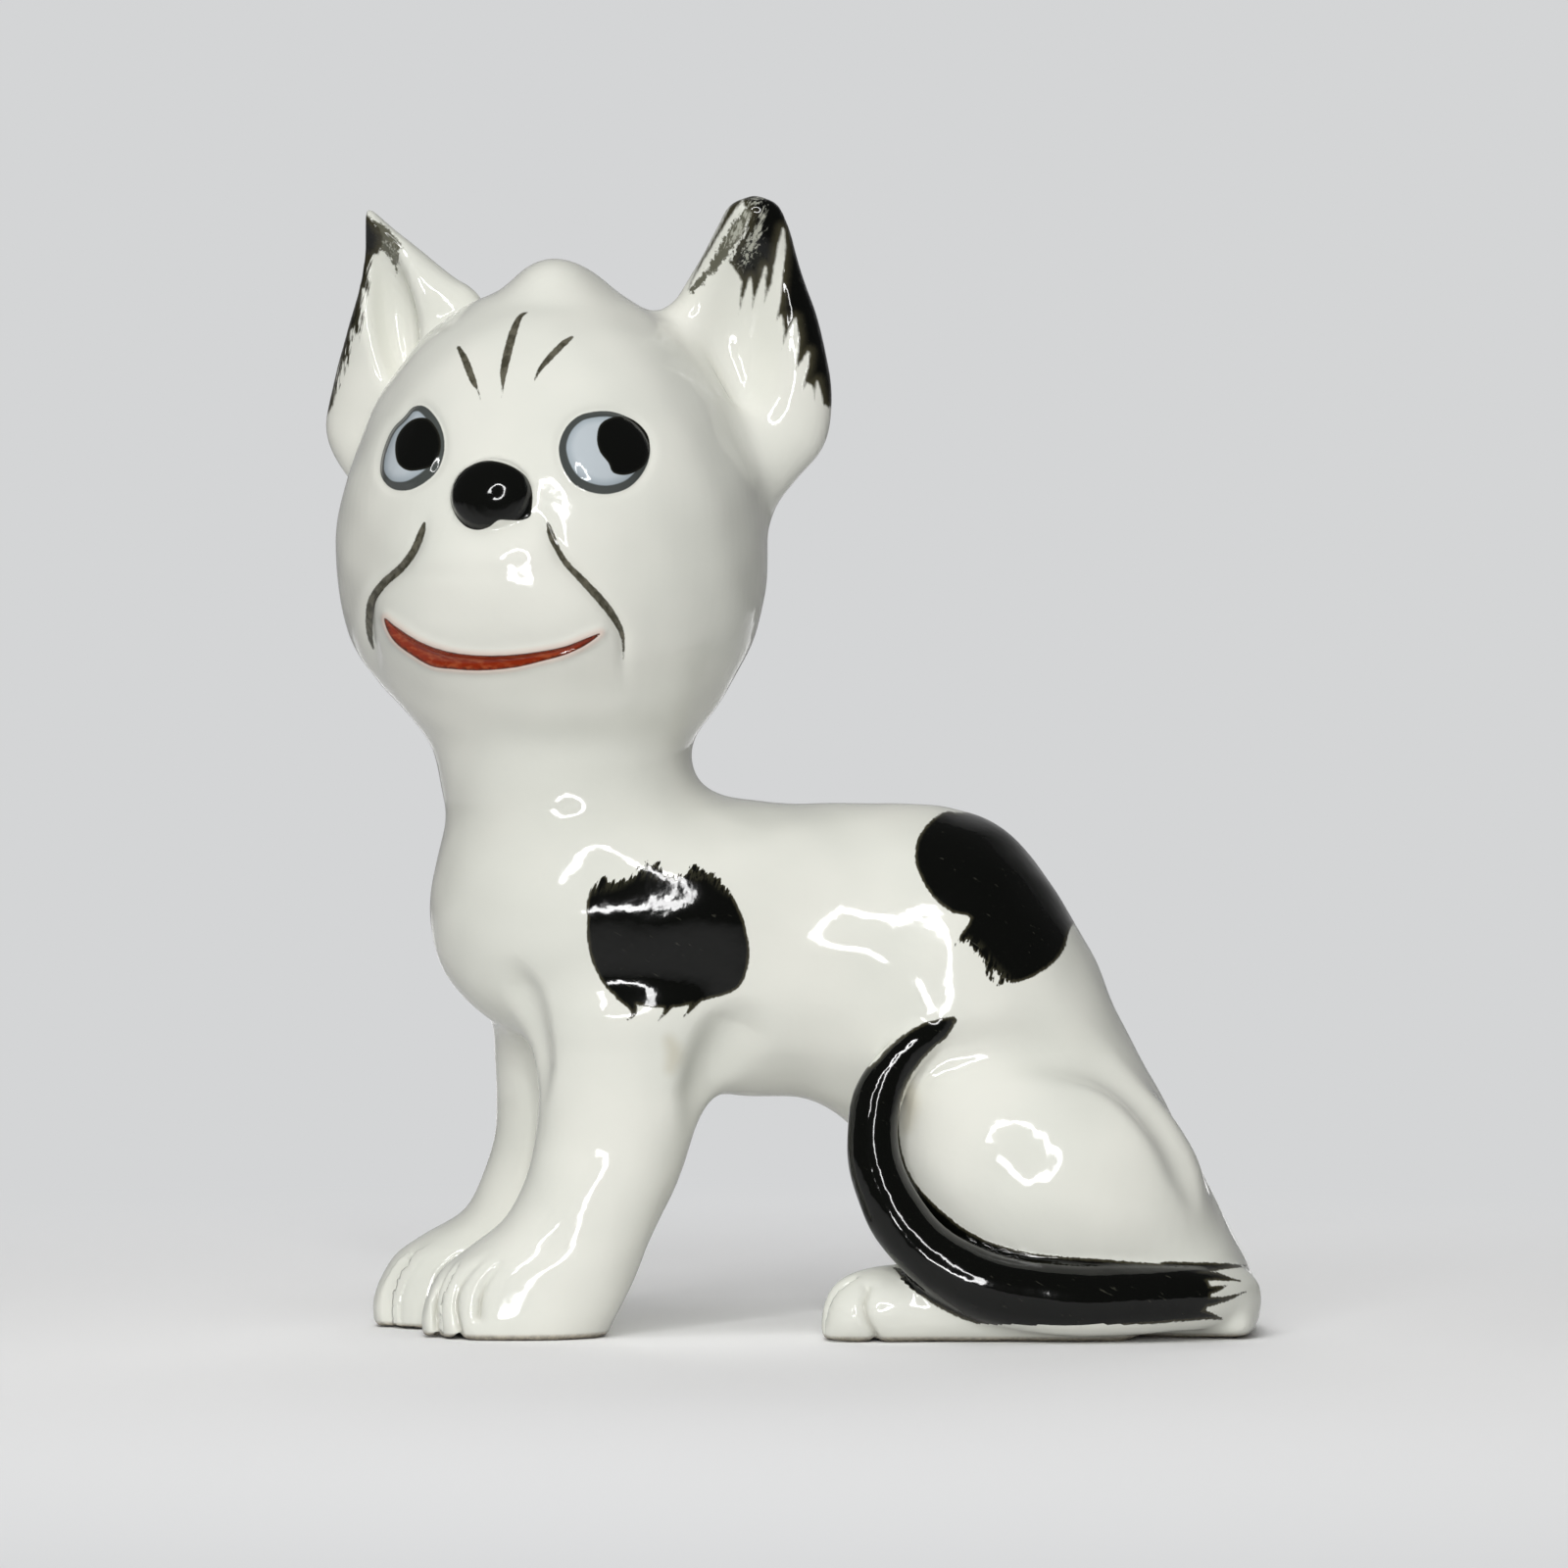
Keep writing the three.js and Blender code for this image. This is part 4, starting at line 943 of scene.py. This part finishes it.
left_of = side_of(spots, CREASES[0], 1)
right_of = side_of(spots, CREASES[1], -1)
top_fade = smoothstep(*px([(0, 515), (0, 575)])[:, 1], spots[:, 1])
bottom_fade = smoothstep(*px([(0, 715), (0, 628)])[:, 1], spots[:, 1])
relief = MUZZLE_RISE * bulge(left_of) * bulge(right_of) * top_fade * bottom_fade
for gap in (left_of, right_of):
    relief -= CREASE_DEPTH * (hump(gap, CREASE_WIDTH) * top_fade * bottom_fade)

left_eye = laid(closed(LEFT_EYE), on_head)
right_eye = laid(closed(RIGHT_EYE), on_head)
for eye in (left_eye, right_eye):
    relief += EYE_RISE * bulge(eye, 1.4) - EYE_RIM_DEPTH * hump(eye, 0.5)
relief = np.where(on_head, relief, 0)
mouth = laid(closed(MOUTH), on_head)
relief += LIP_RISE * hump(mouth, 0.6) * on_head - MOUTH_DEPTH * smoothstep(-0.2, 0.8, mouth)

toes = np.zeros(len(skin_points))
# The toe grooves get painted shade with some grime: darker along each groove, most near the ground
toe_groove_shade_and_grime = np.full(len(skin_points), NO_PAINT)
for pixels, ahead in TOE_LINES:
    for mirror, forward in ((1, 0), (-1, ahead)):
        if forward is None:
            continue
        place = skin_points * np.array([1, mirror, 1]) + np.array([forward, 0, 0])
        outside = (normals[:, 1] * mirror < 0.5) & (place[:, 1] < 2) & (place[:, 2] < LEG_TOP / 3)
        gap = laid([(x, y, 0) for x, y in pixels], outside, depth_in_stroke, seen(place))
        toes += sum(depth * hump(gap, width) for depth, width in TOE_DENTS)
        toe_groove_shade_and_grime = most(toe_groove_shade_and_grime, gap - np.maximum(place[:, 2] - 4, 0) / 8)
relief -= toes * smoothstep(9.0, 4.5, skin_points[:, 2])

WAVES = [  # waves of a hand-dipped glaze: directions in radians per millimetre, and heights
    ((0.37, 0.29, 0.3), 0.04), ((-0.37, 0.23, 0.43), 0.04), ((0.22, -0.29, 0.52), 0.04),
    ((0.81, 0.5, 0.33), 0.025), ((-0.5, 0.7, 0.78), 0.025), ((0.12, -0.6, 0.95), 0.025)]
waves = sum(high * np.sin(skin_points @ np.array(way) + 9 * way[0]) for way, high in WAVES)
skin_points = skin_points + normals * (relief + waves)[:, None]
skin_points[:, 2] = np.maximum(skin_points[:, 2], 0)
normals = vertex_normals(skin_points, skin_quads)

# Paint: how deep each vertex lies in each colour, in millimetres

OVER_RIDGE = 7.5  # how far the rump's patch runs over the back's middle
ON_TAIL = 0.4  # skin this near the tail's form is the tail's own
BRUSH_REACH = 2.4  # how far the brush ran off the tail onto the flank

spots = seen(skin_points)
near_side = (normals[:, 1] < 0.3) & (skin_points[:, 1] < 2)
over_ridge = skin_points[:, 1] < 7
by_ears = skin_points[:, 2] > NECK_TOP + 20
flank = near_side & (skin_points[:, 2] < NECK_TOP)

# The tail's ink: all round the tail, and a little way off it, but not on the skin behind it
tail_away = sample(parts["tail"], skin_points)
round_tail = np.nonzero(flank & (tail_away < BRUSH_REACH))[0]
off_tail = slope(parts["tail"], skin_points[round_tail])
behind_tail = (off_tail[:, 1] > 0.75) & (off_tail[:, 0] < 0.3)
by_tail = tail_away < ON_TAIL
by_tail[round_tail[~behind_tail]] = True
round_front = np.where(tail_away < ON_TAIL, 1.5, 0) * smoothstep(-0.4, -0.8, normals[:, 0])
round_front *= smoothstep(27, 24, skin_points[:, 2])  # not at the tail's tip

# The rump's patch ends in a round edge behind the ridge
patch_middle, patch_end = px([(1036, 875), (1092, 945)])
patch_run = patch_end - patch_middle
along_patch = (skin_points[:, [0, 2]] - patch_middle) @ patch_run / patch_run.dot(patch_run)
rump_limit = OVER_RIDGE * np.sqrt(np.clip(1 - along_patch ** 2, 0, 1)) - 0.4

ink = most(
    laid(closed(SHOULDER, 3), flank),
    np.minimum(laid(closed(RUMP, 3), over_ridge), rump_limit - skin_points[:, 1]),
    brushed(FLICKS, flank),
    laid(px(LEFT_EAR_INK), by_ears & (skin_points[:, 0] > NECK_MIDDLE)),
    laid(px(RIGHT_EAR_INK), by_ears & (skin_points[:, 0] < NECK_MIDDLE)),
    brushed([LEFT_EAR_EDGE], by_ears),
    brushed([TAIL_INK], by_tail) + round_front,
    brushed(TAIL_BRISTLES, flank & (normals[:, 1] < -0.12)))
line = brushed(BROWS + CREASES, on_head)
thin = most(laid(px(RIGHT_EAR_OLIVE), by_ears), brushed([LEFT_EAR_GRIME], by_ears))
left_pupil = laid(closed(LEFT_PUPIL), on_head)
right_pupil = laid(closed(RIGHT_PUPIL), on_head)
gloss = most(left_pupil, right_pupil, laid(closed(NOSE), on_head))
eyes = most(left_eye, right_eye)
worn = brushed(WORN, near_side | by_ears)
stain = brushed(STAINS, flank)
ragged = brushed(RAGGED, near_side | by_ears)
coats = {"ink": ink, "line": line, "thin": thin, "gloss": gloss, "eyes": eyes, "mouth": mouth,
         "worn": worn, "stain": stain, "toe_groove_shade_and_grime": toe_groove_shade_and_grime, "ragged": ragged}

# Pieces: each face belongs to the form that it lies deepest in

middles = skin_points[skin_quads].mean(1)
above = middles[:, 2] > NECK_TOP
names = list(parts)
depths = np.stack([sample(parts[name], middles) for name in names])
OUT_OF_REACH = 50  # keeps head and body to their own sides of the neck joint
depths[names.index("torso_shell")] += np.where(above, OUT_OF_REACH, 0)
depths[names.index("head_shell")] += np.where(above, 0, OUT_OF_REACH)
owner = np.array(names, dtype=object)[np.argmin(depths, axis=0)]
body_owner = np.isin(owner, ["torso_shell", "left_front_leg", "right_front_leg"])
head_owner = owner == "head_shell"


def painted(coat):
    return coat[skin_quads].mean(1)


on_rump, above_tail = middles[:, [0, 2]].T > px([(880, 1028)])[0][:, None]
inked = body_owner & (painted(ink) > 0)
owner[inked & ~on_rump] = "shoulder_patch"
owner[inked & on_rump & above_tail] = "rump_patch"
for name, depth in (("left_eye", left_eye), ("right_eye", right_eye), ("lips", mouth)):
    owner[head_owner & (painted(depth) > 0)] = name
for side, depth in (("left", left_pupil), ("right", right_pupil)):
    owner[(painted(depth) > 0) & (owner == side + "_eye")] = side + "_pupil"

SMALL = 40  # faces; a smaller island goes to the piece round it


def neighbours(quads):
    """Pairs of faces that share an edge."""
    ends = np.stack([quads, np.roll(quads, -1, axis=1)], 2).reshape(-1, 2)
    keys = ends.min(1).astype(np.int64) * len(skin_points) + ends.max(1)
    order = np.argsort(keys, kind="stable")
    same = np.nonzero(keys[order][1:] == keys[order][:-1])[0]
    return np.stack([order[same] // 4, order[same + 1] // 4], 1)


def islands(pairs, count):
    """For each face, the lowest face that it hangs together with."""
    label = np.arange(count)
    while True:
        a, b = label[pairs[:, 0]], label[pairs[:, 1]]
        lower = label.copy()
        np.minimum.at(lower, a, np.minimum(a, b))
        np.minimum.at(lower, b, np.minimum(a, b))
        lower = lower[lower]
        if np.array_equal(lower, label):
            return label
        label = lower


pairs = neighbours(skin_quads)
for sweep in range(3):
    alike = owner[pairs[:, 0]] == owner[pairs[:, 1]]
    island = islands(pairs[alike], len(skin_quads))
    size = np.bincount(island, minlength=len(skin_quads))[island]
    heir = {}
    for one, other in np.concatenate([pairs[~alike], pairs[~alike][:, ::-1]]):
        if size[one] < SMALL and size[other] >= SMALL:
            heir[island[one]] = owner[other]
    if not heir:
        break
    for label, name in heir.items():
        owner[island == label] = name


# Material


class Graph:
    """Adds shader nodes to the emptied tree of a material or world and wires them."""

    def __init__(self, owner):
        owner.use_nodes = True
        self.tree = owner.node_tree
        self.tree.nodes.clear()

    def node(self, kind, inputs=(), **settings):
        made = self.tree.nodes.new(kind)
        for key, value in settings.items():
            setattr(made, key, value)
        for key, value in dict(inputs).items():
            socket = made.inputs[key]
            if isinstance(value, bpy.types.NodeSocket):
                self.tree.links.new(value, socket)
            else:
                socket.default_value = value
        return made

    def maths(self, operation, a, b=0.0, c=0.0):
        return self.node("ShaderNodeMath", {0: a, 1: b, 2: c}, operation=operation).outputs[0]

    def coat(self, name):
        return self.node("ShaderNodeAttribute", attribute_name=name).outputs["Fac"]

    def ramp(self, value, low, high, out_low=0.0, out_high=1.0):
        made = self.node("ShaderNodeMapRange", {
            "Value": value, "From Min": low, "From Max": high, "To Min": out_low, "To Max": out_high},
            interpolation_type="SMOOTHSTEP")
        return made.outputs["Result"]

    def mix(self, share, under, over):
        made = self.node("ShaderNodeMix", {0: share, 6: under, 7: over}, data_type="RGBA")
        return made.outputs[2]

    def centred(self, noise, width):
        """Noise of 0 to 1 spread over a width round 0."""
        return self.maths("MULTIPLY_ADD", noise, width, -width / 2)

    def noise(self, where, scale, detail=2.0, rough=0.5):
        made = self.node("ShaderNodeTexNoise", {
            "Vector": where, "Scale": scale, "Detail": detail, "Roughness": rough})
        return made.outputs["Fac"]

    def grained(self, where, lengths, turn=(0.0, 0.0, 0.0)):
        """Coordinates in which a grain of these lengths, turned so, has length 1."""
        made = self.node("ShaderNodeMapping", {"Vector": where, "Rotation": turn, "Scale": lengths},
                         vector_type="TEXTURE")
        return made.outputs["Vector"]


def srgb(red, green, blue):
    """A colour as the eye names it, in the renderer's linear numbers."""
    def linear(value):
        value /= 255
        return value / 12.92 if value <= 0.04045 else ((value + 0.055) / 1.055) ** 2.4
    return (linear(red), linear(green), linear(blue), 1.0)


def painted_porcelain():
    material = bpy.data.materials.new("painted_porcelain")
    g = Graph(material)
    place = g.node("ShaderNodeTexCoord").outputs["Object"]
    where = g.node("ShaderNodeVectorMath", {0: place, 3: 1 / MM}, operation="SCALE").outputs[0]
    height = g.node("ShaderNodeSeparateXYZ", {0: where}).outputs["Z"]
    fine = g.noise(where, 2.6, 3.0)
    bristle = g.noise(g.grained(where, (0.3, 0.3, 2.2)), 1.0, 2.0)
    broad = g.noise(where, 0.07, 2.0)
    wander = g.maths("ADD", g.centred(fine, 0.16), g.centred(bristle, 0.24))
    upright = g.noise(g.grained(where, (0.3, 0.3, 3.6), (0.0, 0.3, 0.0)), 1.0, 2.0, 0.6)
    lengthwise = g.noise(g.grained(where, (3.0, 0.3, 0.3)), 1.0, 2.0, 0.6)
    hairs = g.node("ShaderNodeMix", {0: g.ramp(height, 12.0, 10.0), 2: upright, 3: lengthwise}).outputs[0]
    ragged = g.ramp(g.coat("ragged"), -0.2, 0.7)
    wander = g.maths("ADD", wander, g.maths("MULTIPLY", ragged, g.centred(hairs, 1.9)))
    scratch = g.noise(g.grained(where, (1.8, 0.25, 0.25), (0.0, 0.5, 0.0)), 1.0, 2.0)

    glaze = g.mix(g.ramp(broad, 0.35, 0.65), srgb(228, 228, 219), srgb(222, 223, 214))
    bare = g.ramp(height, 0.75, 0.25)
    speck = g.noise(where, 1.7, 4.0, 0.7)
    clay = g.mix(g.ramp(speck, 0.4, 0.62), srgb(178, 168, 148), srgb(128, 118, 102))
    colour = g.mix(g.maths("MULTIPLY", bare, 0.85), glaze, clay)
    colour = g.mix(g.ramp(g.coat("stain"), -1.0, 0.6, 0.0, 0.35), colour, srgb(176, 164, 128))
    # Painted shade and grime in the toe grooves, darkest towards the bottom
    colour = g.mix(g.ramp(g.coat("toe_groove_shade_and_grime"), -0.4, 0.0, 0.0, 0.4), colour, srgb(136, 130, 114))

    line = g.maths("ADD", g.coat("line"), g.centred(fine, 0.16))
    line_colour = g.mix(g.ramp(g.noise(where, 1.3, 2.0), 0.35, 0.65), srgb(66, 64, 52), srgb(98, 95, 82))
    colour = g.mix(g.ramp(line, -0.03, 0.1), colour, line_colour)

    thin = g.maths("ADD", g.coat("thin"), g.centred(speck, 1.6))
    colour = g.mix(g.ramp(thin, -0.05, 0.2, 0.0, 0.92), colour, srgb(74, 73, 55))

    mouth = g.coat("mouth")
    colour = g.mix(g.ramp(mouth, -0.7, 0.0, 0.0, 0.35), colour, srgb(222, 168, 148))
    streaks = g.noise(g.grained(where, (3.0, 0.5, 0.5)), 1.0, 2.0)
    red = g.mix(g.ramp(streaks, 0.42, 0.66), srgb(136, 42, 14), srgb(160, 74, 42))
    lip = g.maths("ADD", mouth, g.centred(fine, 0.5))
    lip_colour = g.mix(g.ramp(lip, -0.02, 0.3), srgb(76, 29, 12), red)
    colour = g.mix(g.ramp(mouth, -0.04, 0.06), colour, lip_colour)

    eyes = g.coat("eyes")
    rim = g.ramp(eyes, -0.04, 0.06)
    # The sclera is painted darker towards its rim: painted shade round the edge of the eye
    sclera_with_painted_shade = g.mix(g.ramp(eyes, 0.8, 1.6), srgb(164, 174, 180), srgb(186, 194, 199))
    eye_colour = g.mix(g.ramp(eyes, 0.66, 0.82), srgb(72, 76, 74), sclera_with_painted_shade)
    colour = g.mix(rim, colour, eye_colour)

    ink = g.maths("ADD", g.coat("ink"), wander)
    on_ears = g.ramp(height, 80.0, 84.0)  # where the brush was drier
    ink_mask = g.ramp(ink, -0.05, g.maths("MULTIPLY_ADD", on_ears, 0.2, 0.08))
    full_ink = g.ramp(ink, 0.0, g.maths("MULTIPLY_ADD", on_ears, 0.8, 0.42))
    ink_colour = g.mix(full_ink, srgb(66, 63, 48), srgb(7, 8, 6))
    sparse = g.maths("MULTIPLY", ragged, g.ramp(hairs, 0.62, 0.42, 0.0, 0.75))
    ink_colour = g.mix(sparse, ink_colour, srgb(50, 49, 37))
    ink_colour = g.mix(g.ramp(scratch, 0.68, 0.78, 0.0, 0.3), ink_colour, srgb(92, 92, 80))
    colour = g.mix(ink_mask, colour, ink_colour)
    scuff = g.noise(g.grained(where, (0.26, 0.26, 1.1), (0.0, 0.5, 0.0)), 1.0, 3.0, 0.6)
    worn = g.maths("ADD", g.coat("worn"), g.maths("MULTIPLY_ADD", scuff, 3.2, -1.8))
    colour = g.mix(g.ramp(worn, -0.2, 0.5, 0.0, 0.8), colour, srgb(186, 187, 174))

    gloss = g.coat("gloss")
    gloss_mask = g.ramp(gloss, -0.03, 0.05)
    gloss_colour = g.mix(g.ramp(gloss, 0.0, 0.3), srgb(34, 34, 28), srgb(10, 11, 9))
    colour = g.mix(gloss_mask, colour, gloss_colour)

    rough = g.ramp(bare, 0.3, 1.0, 0.07, 0.6)
    relief = g.maths("ADD", g.maths("MULTIPLY", ink_mask, 0.05),
                     g.maths("MULTIPLY", g.ramp(line, -0.03, 0.1), 0.02))
    relief = g.maths("ADD", relief, g.maths("MULTIPLY", g.noise(where, 0.9, 2.0), 0.012))
    lumps = g.maths("MULTIPLY", g.noise(where, 0.42, 2.0, 0.45), ink_mask)
    relief = g.maths("MULTIPLY_ADD", lumps, 0.045, relief)
    bump = g.node("ShaderNodeBump", {"Height": relief, "Strength": 1.0, "Distance": MM})
    shader = g.node("ShaderNodeBsdfPrincipled", {
        "Base Color": colour, "Roughness": rough, "Normal": bump.outputs["Normal"],
        "IOR": 1.45})
    g.node("ShaderNodeOutputMaterial", {"Surface": shader.outputs["BSDF"]})
    return material


porcelain = painted_porcelain()


def add_object(name, data):
    made = bpy.data.objects.new(name, data)
    bpy.context.scene.collection.objects.link(made)
    return made


def make_piece(name):
    """One piece of the skin, with the paint's depths and the whole skin's normals on its points."""
    quads, between = skin_quads[owner == name], skin_between[owner == name]
    used = np.unique(np.concatenate([quads.ravel(), between[between >= 0]]))
    number = np.full(len(skin_points) + 1, -1)  # the last one stands for no point between
    number[used] = np.arange(len(used))
    faces = number[np.stack([quads, between], 2).reshape(-1, 8)]
    mesh = bpy.data.meshes.new(name + "_cast")
    points = (skin_points[used] + DATUM) * MM
    mesh.from_pydata(points.tolist(), [], [[n for n in face if n >= 0] for face in faces.tolist()])
    mesh.polygons.foreach_set("use_smooth", np.ones(len(quads), bool))
    for coat, depth in coats.items():
        mesh.attributes.new(coat, "FLOAT", "POINT").data.foreach_set("value", depth[used].astype(np.float32))
    mesh.materials.append(porcelain)
    mesh.normals_split_custom_set_from_vertices(normals[used].tolist())
    piece = add_object(name + "_cast", mesh)
    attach(piece, "root")
    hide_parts(name)


for name in names + ["left_eye", "right_eye", "left_pupil", "right_pupil", "lips", "shoulder_patch",
                     "rump_patch"]:
    print(name, int(np.sum(owner == name)), "faces")
    make_piece(name)

# Floor and backdrop: one sheet swept up behind the object

FLOOR_FRONT = -0.24
FLOOR_BACK = 0.5
SWEEP = 0.25
WALL_TOP = 1.2
FLOOR_HALF = 1.2
BACKDROP_SHADE = (212, 213, 214)
DARK_UNTIL = -0.05  # the floor's front fades out in the glaze's reflections, towards the camera
PLAIN_FROM = (0.06, 0.26)  # the backdrop's even shade takes over away from the cat


def backdrop():
    profile = [(FLOOR_FRONT, 0.0), (FLOOR_BACK, 0.0)]
    for i in range(1, 17):
        angle = math.pi / 2 * i / 16
        profile.append((FLOOR_BACK + SWEEP * math.sin(angle), SWEEP * (1 - math.cos(angle))))
    profile.append((FLOOR_BACK + SWEEP, WALL_TOP))
    points = [(x, y, z) for y, z in profile for x in (-FLOOR_HALF, FLOOR_HALF)]
    faces = [(2 * i, 2 * i + 1, 2 * i + 3, 2 * i + 2) for i in range(len(profile) - 1)]
    mesh = bpy.data.meshes.new("backdrop")
    mesh.from_pydata(points, [], faces)
    mesh.polygons.foreach_set("use_smooth", np.ones(len(faces), bool))
    material = bpy.data.materials.new("backdrop_paper")
    g = Graph(material)
    seen_by_camera = g.node("ShaderNodeLightPath").outputs["Is Camera Ray"]
    place = g.node("ShaderNodeTexCoord").outputs["Object"]
    depth = g.node("ShaderNodeSeparateXYZ", {0: place}).outputs["Y"]
    reflected = g.mix(g.ramp(depth, FLOOR_FRONT, DARK_UNTIL), srgb(84, 84, 84), srgb(222, 222, 222))
    shade = g.mix(seen_by_camera, reflected, srgb(250, 250, 250))
    paper = g.node("ShaderNodeBsdfPrincipled", {
        "Base Color": shade, "Roughness": 0.9, "Specular IOR Level": 0.1})
    plain = g.node("ShaderNodeEmission", {"Color": srgb(*BACKDROP_SHADE)})
    distance = g.node("ShaderNodeVectorMath", {0: place}, operation="LENGTH").outputs["Value"]
    share = g.maths("MULTIPLY", g.ramp(distance, *PLAIN_FROM), seen_by_camera)
    both = g.node("ShaderNodeMixShader", {0: share, 1: paper.outputs[0], 2: plain.outputs[0]})
    g.node("ShaderNodeOutputMaterial", {"Surface": both.outputs[0]})
    mesh.materials.append(material)
    add_object("backdrop", mesh)


backdrop()

# Camera

AIM = Vector((DATUM[0] + VIEW_CENTRE[0], DATUM[1], VIEW_CENTRE[1])) * MM
lens = bpy.data.cameras.new("camera")
lens.sensor_width = SENSOR
lens.lens = SENSOR * VIEW_DISTANCE / VIEW_WIDTH
lens.clip_start = 0.01
lens.clip_end = 10
camera = add_object("camera", lens)
camera.location = AIM - Vector((0, VIEW_DISTANCE * MM, 0))
camera.rotation_euler = (math.pi / 2, 0, 0)
bpy.context.scene.camera = camera

# Light


def lamp(name, place, width, height, power, roll=0.0, glossy=True):
    """A soft box that faces the cat; a fill lamp leaves no glare on the glaze."""
    light = bpy.data.lights.new(name, "AREA")
    light.shape = "RECTANGLE"
    light.size = width
    light.size_y = height
    light.energy = power
    made = add_object(name, light)
    made.location = place
    facing = (AIM - Vector(place)).to_track_quat("-Z", "Y")
    made.rotation_euler = (facing @ Quaternion((0, 0, 1), roll)).to_euler()
    made.visible_camera = False
    made.visible_glossy = glossy


def direction(aside, up, distance):
    """A place seen from the cat at angles from the camera's line."""
    a, b = math.radians(aside), math.radians(up)
    way = Vector((math.sin(a) * math.cos(b), -math.cos(a) * math.cos(b), math.sin(b)))
    return AIM + way * distance


lamp("overhead", direction(-25, 68, 0.9), 0.6, 0.45, 2.6, glossy=False)
lamp("behind", direction(176, 14, 0.55), 0.6, 0.4, 1.8, glossy=False)
RING = 16
RING_GAP = (9, 10)  # lamps that the ring leaves out
RING_MIDDLE = (-9.0, 14.5)
RING_REACH = (13.5, 17.5)
RING_AWAY = 0.62
RING_WIDTH = 0.034
OVERLAP = 1.04  # each lamp of the ring reaches into the next
for i in range(RING):
    if i in RING_GAP:
        continue
    turn = 2 * math.pi * i / RING
    across, up = RING_REACH[0] * math.cos(turn), RING_REACH[1] * math.sin(turn)
    place = direction(RING_MIDDLE[0] + across, RING_MIDDLE[1] + up, RING_AWAY)
    along = math.atan2(RING_REACH[1] * math.cos(turn), -RING_REACH[0] * math.sin(turn))
    curve = math.radians(math.hypot(RING_REACH[1] * math.cos(turn), RING_REACH[0] * math.sin(turn)))
    lamp(f"ring_{i}", place, OVERLAP * math.tau / RING * curve * RING_AWAY, RING_WIDTH, 3.3 / RING, along)

SKY_STRENGTH = 0.07
world = bpy.context.scene.world or bpy.data.worlds.new("world")
bpy.context.scene.world = world
g = Graph(world)
sky = g.node("ShaderNodeBackground", {"Color": srgb(255, 255, 255), "Strength": SKY_STRENGTH})
pale = g.node("ShaderNodeBackground", {"Color": srgb(*BACKDROP_SHADE)})
seen_by_camera = g.node("ShaderNodeLightPath").outputs["Is Camera Ray"]
choice = g.node("ShaderNodeMixShader", {0: seen_by_camera, 1: sky.outputs[0], 2: pale.outputs[0]})
g.node("ShaderNodeOutputWorld", {"Surface": choice.outputs[0]})

bpy.context.scene.view_settings.view_transform = "Standard"
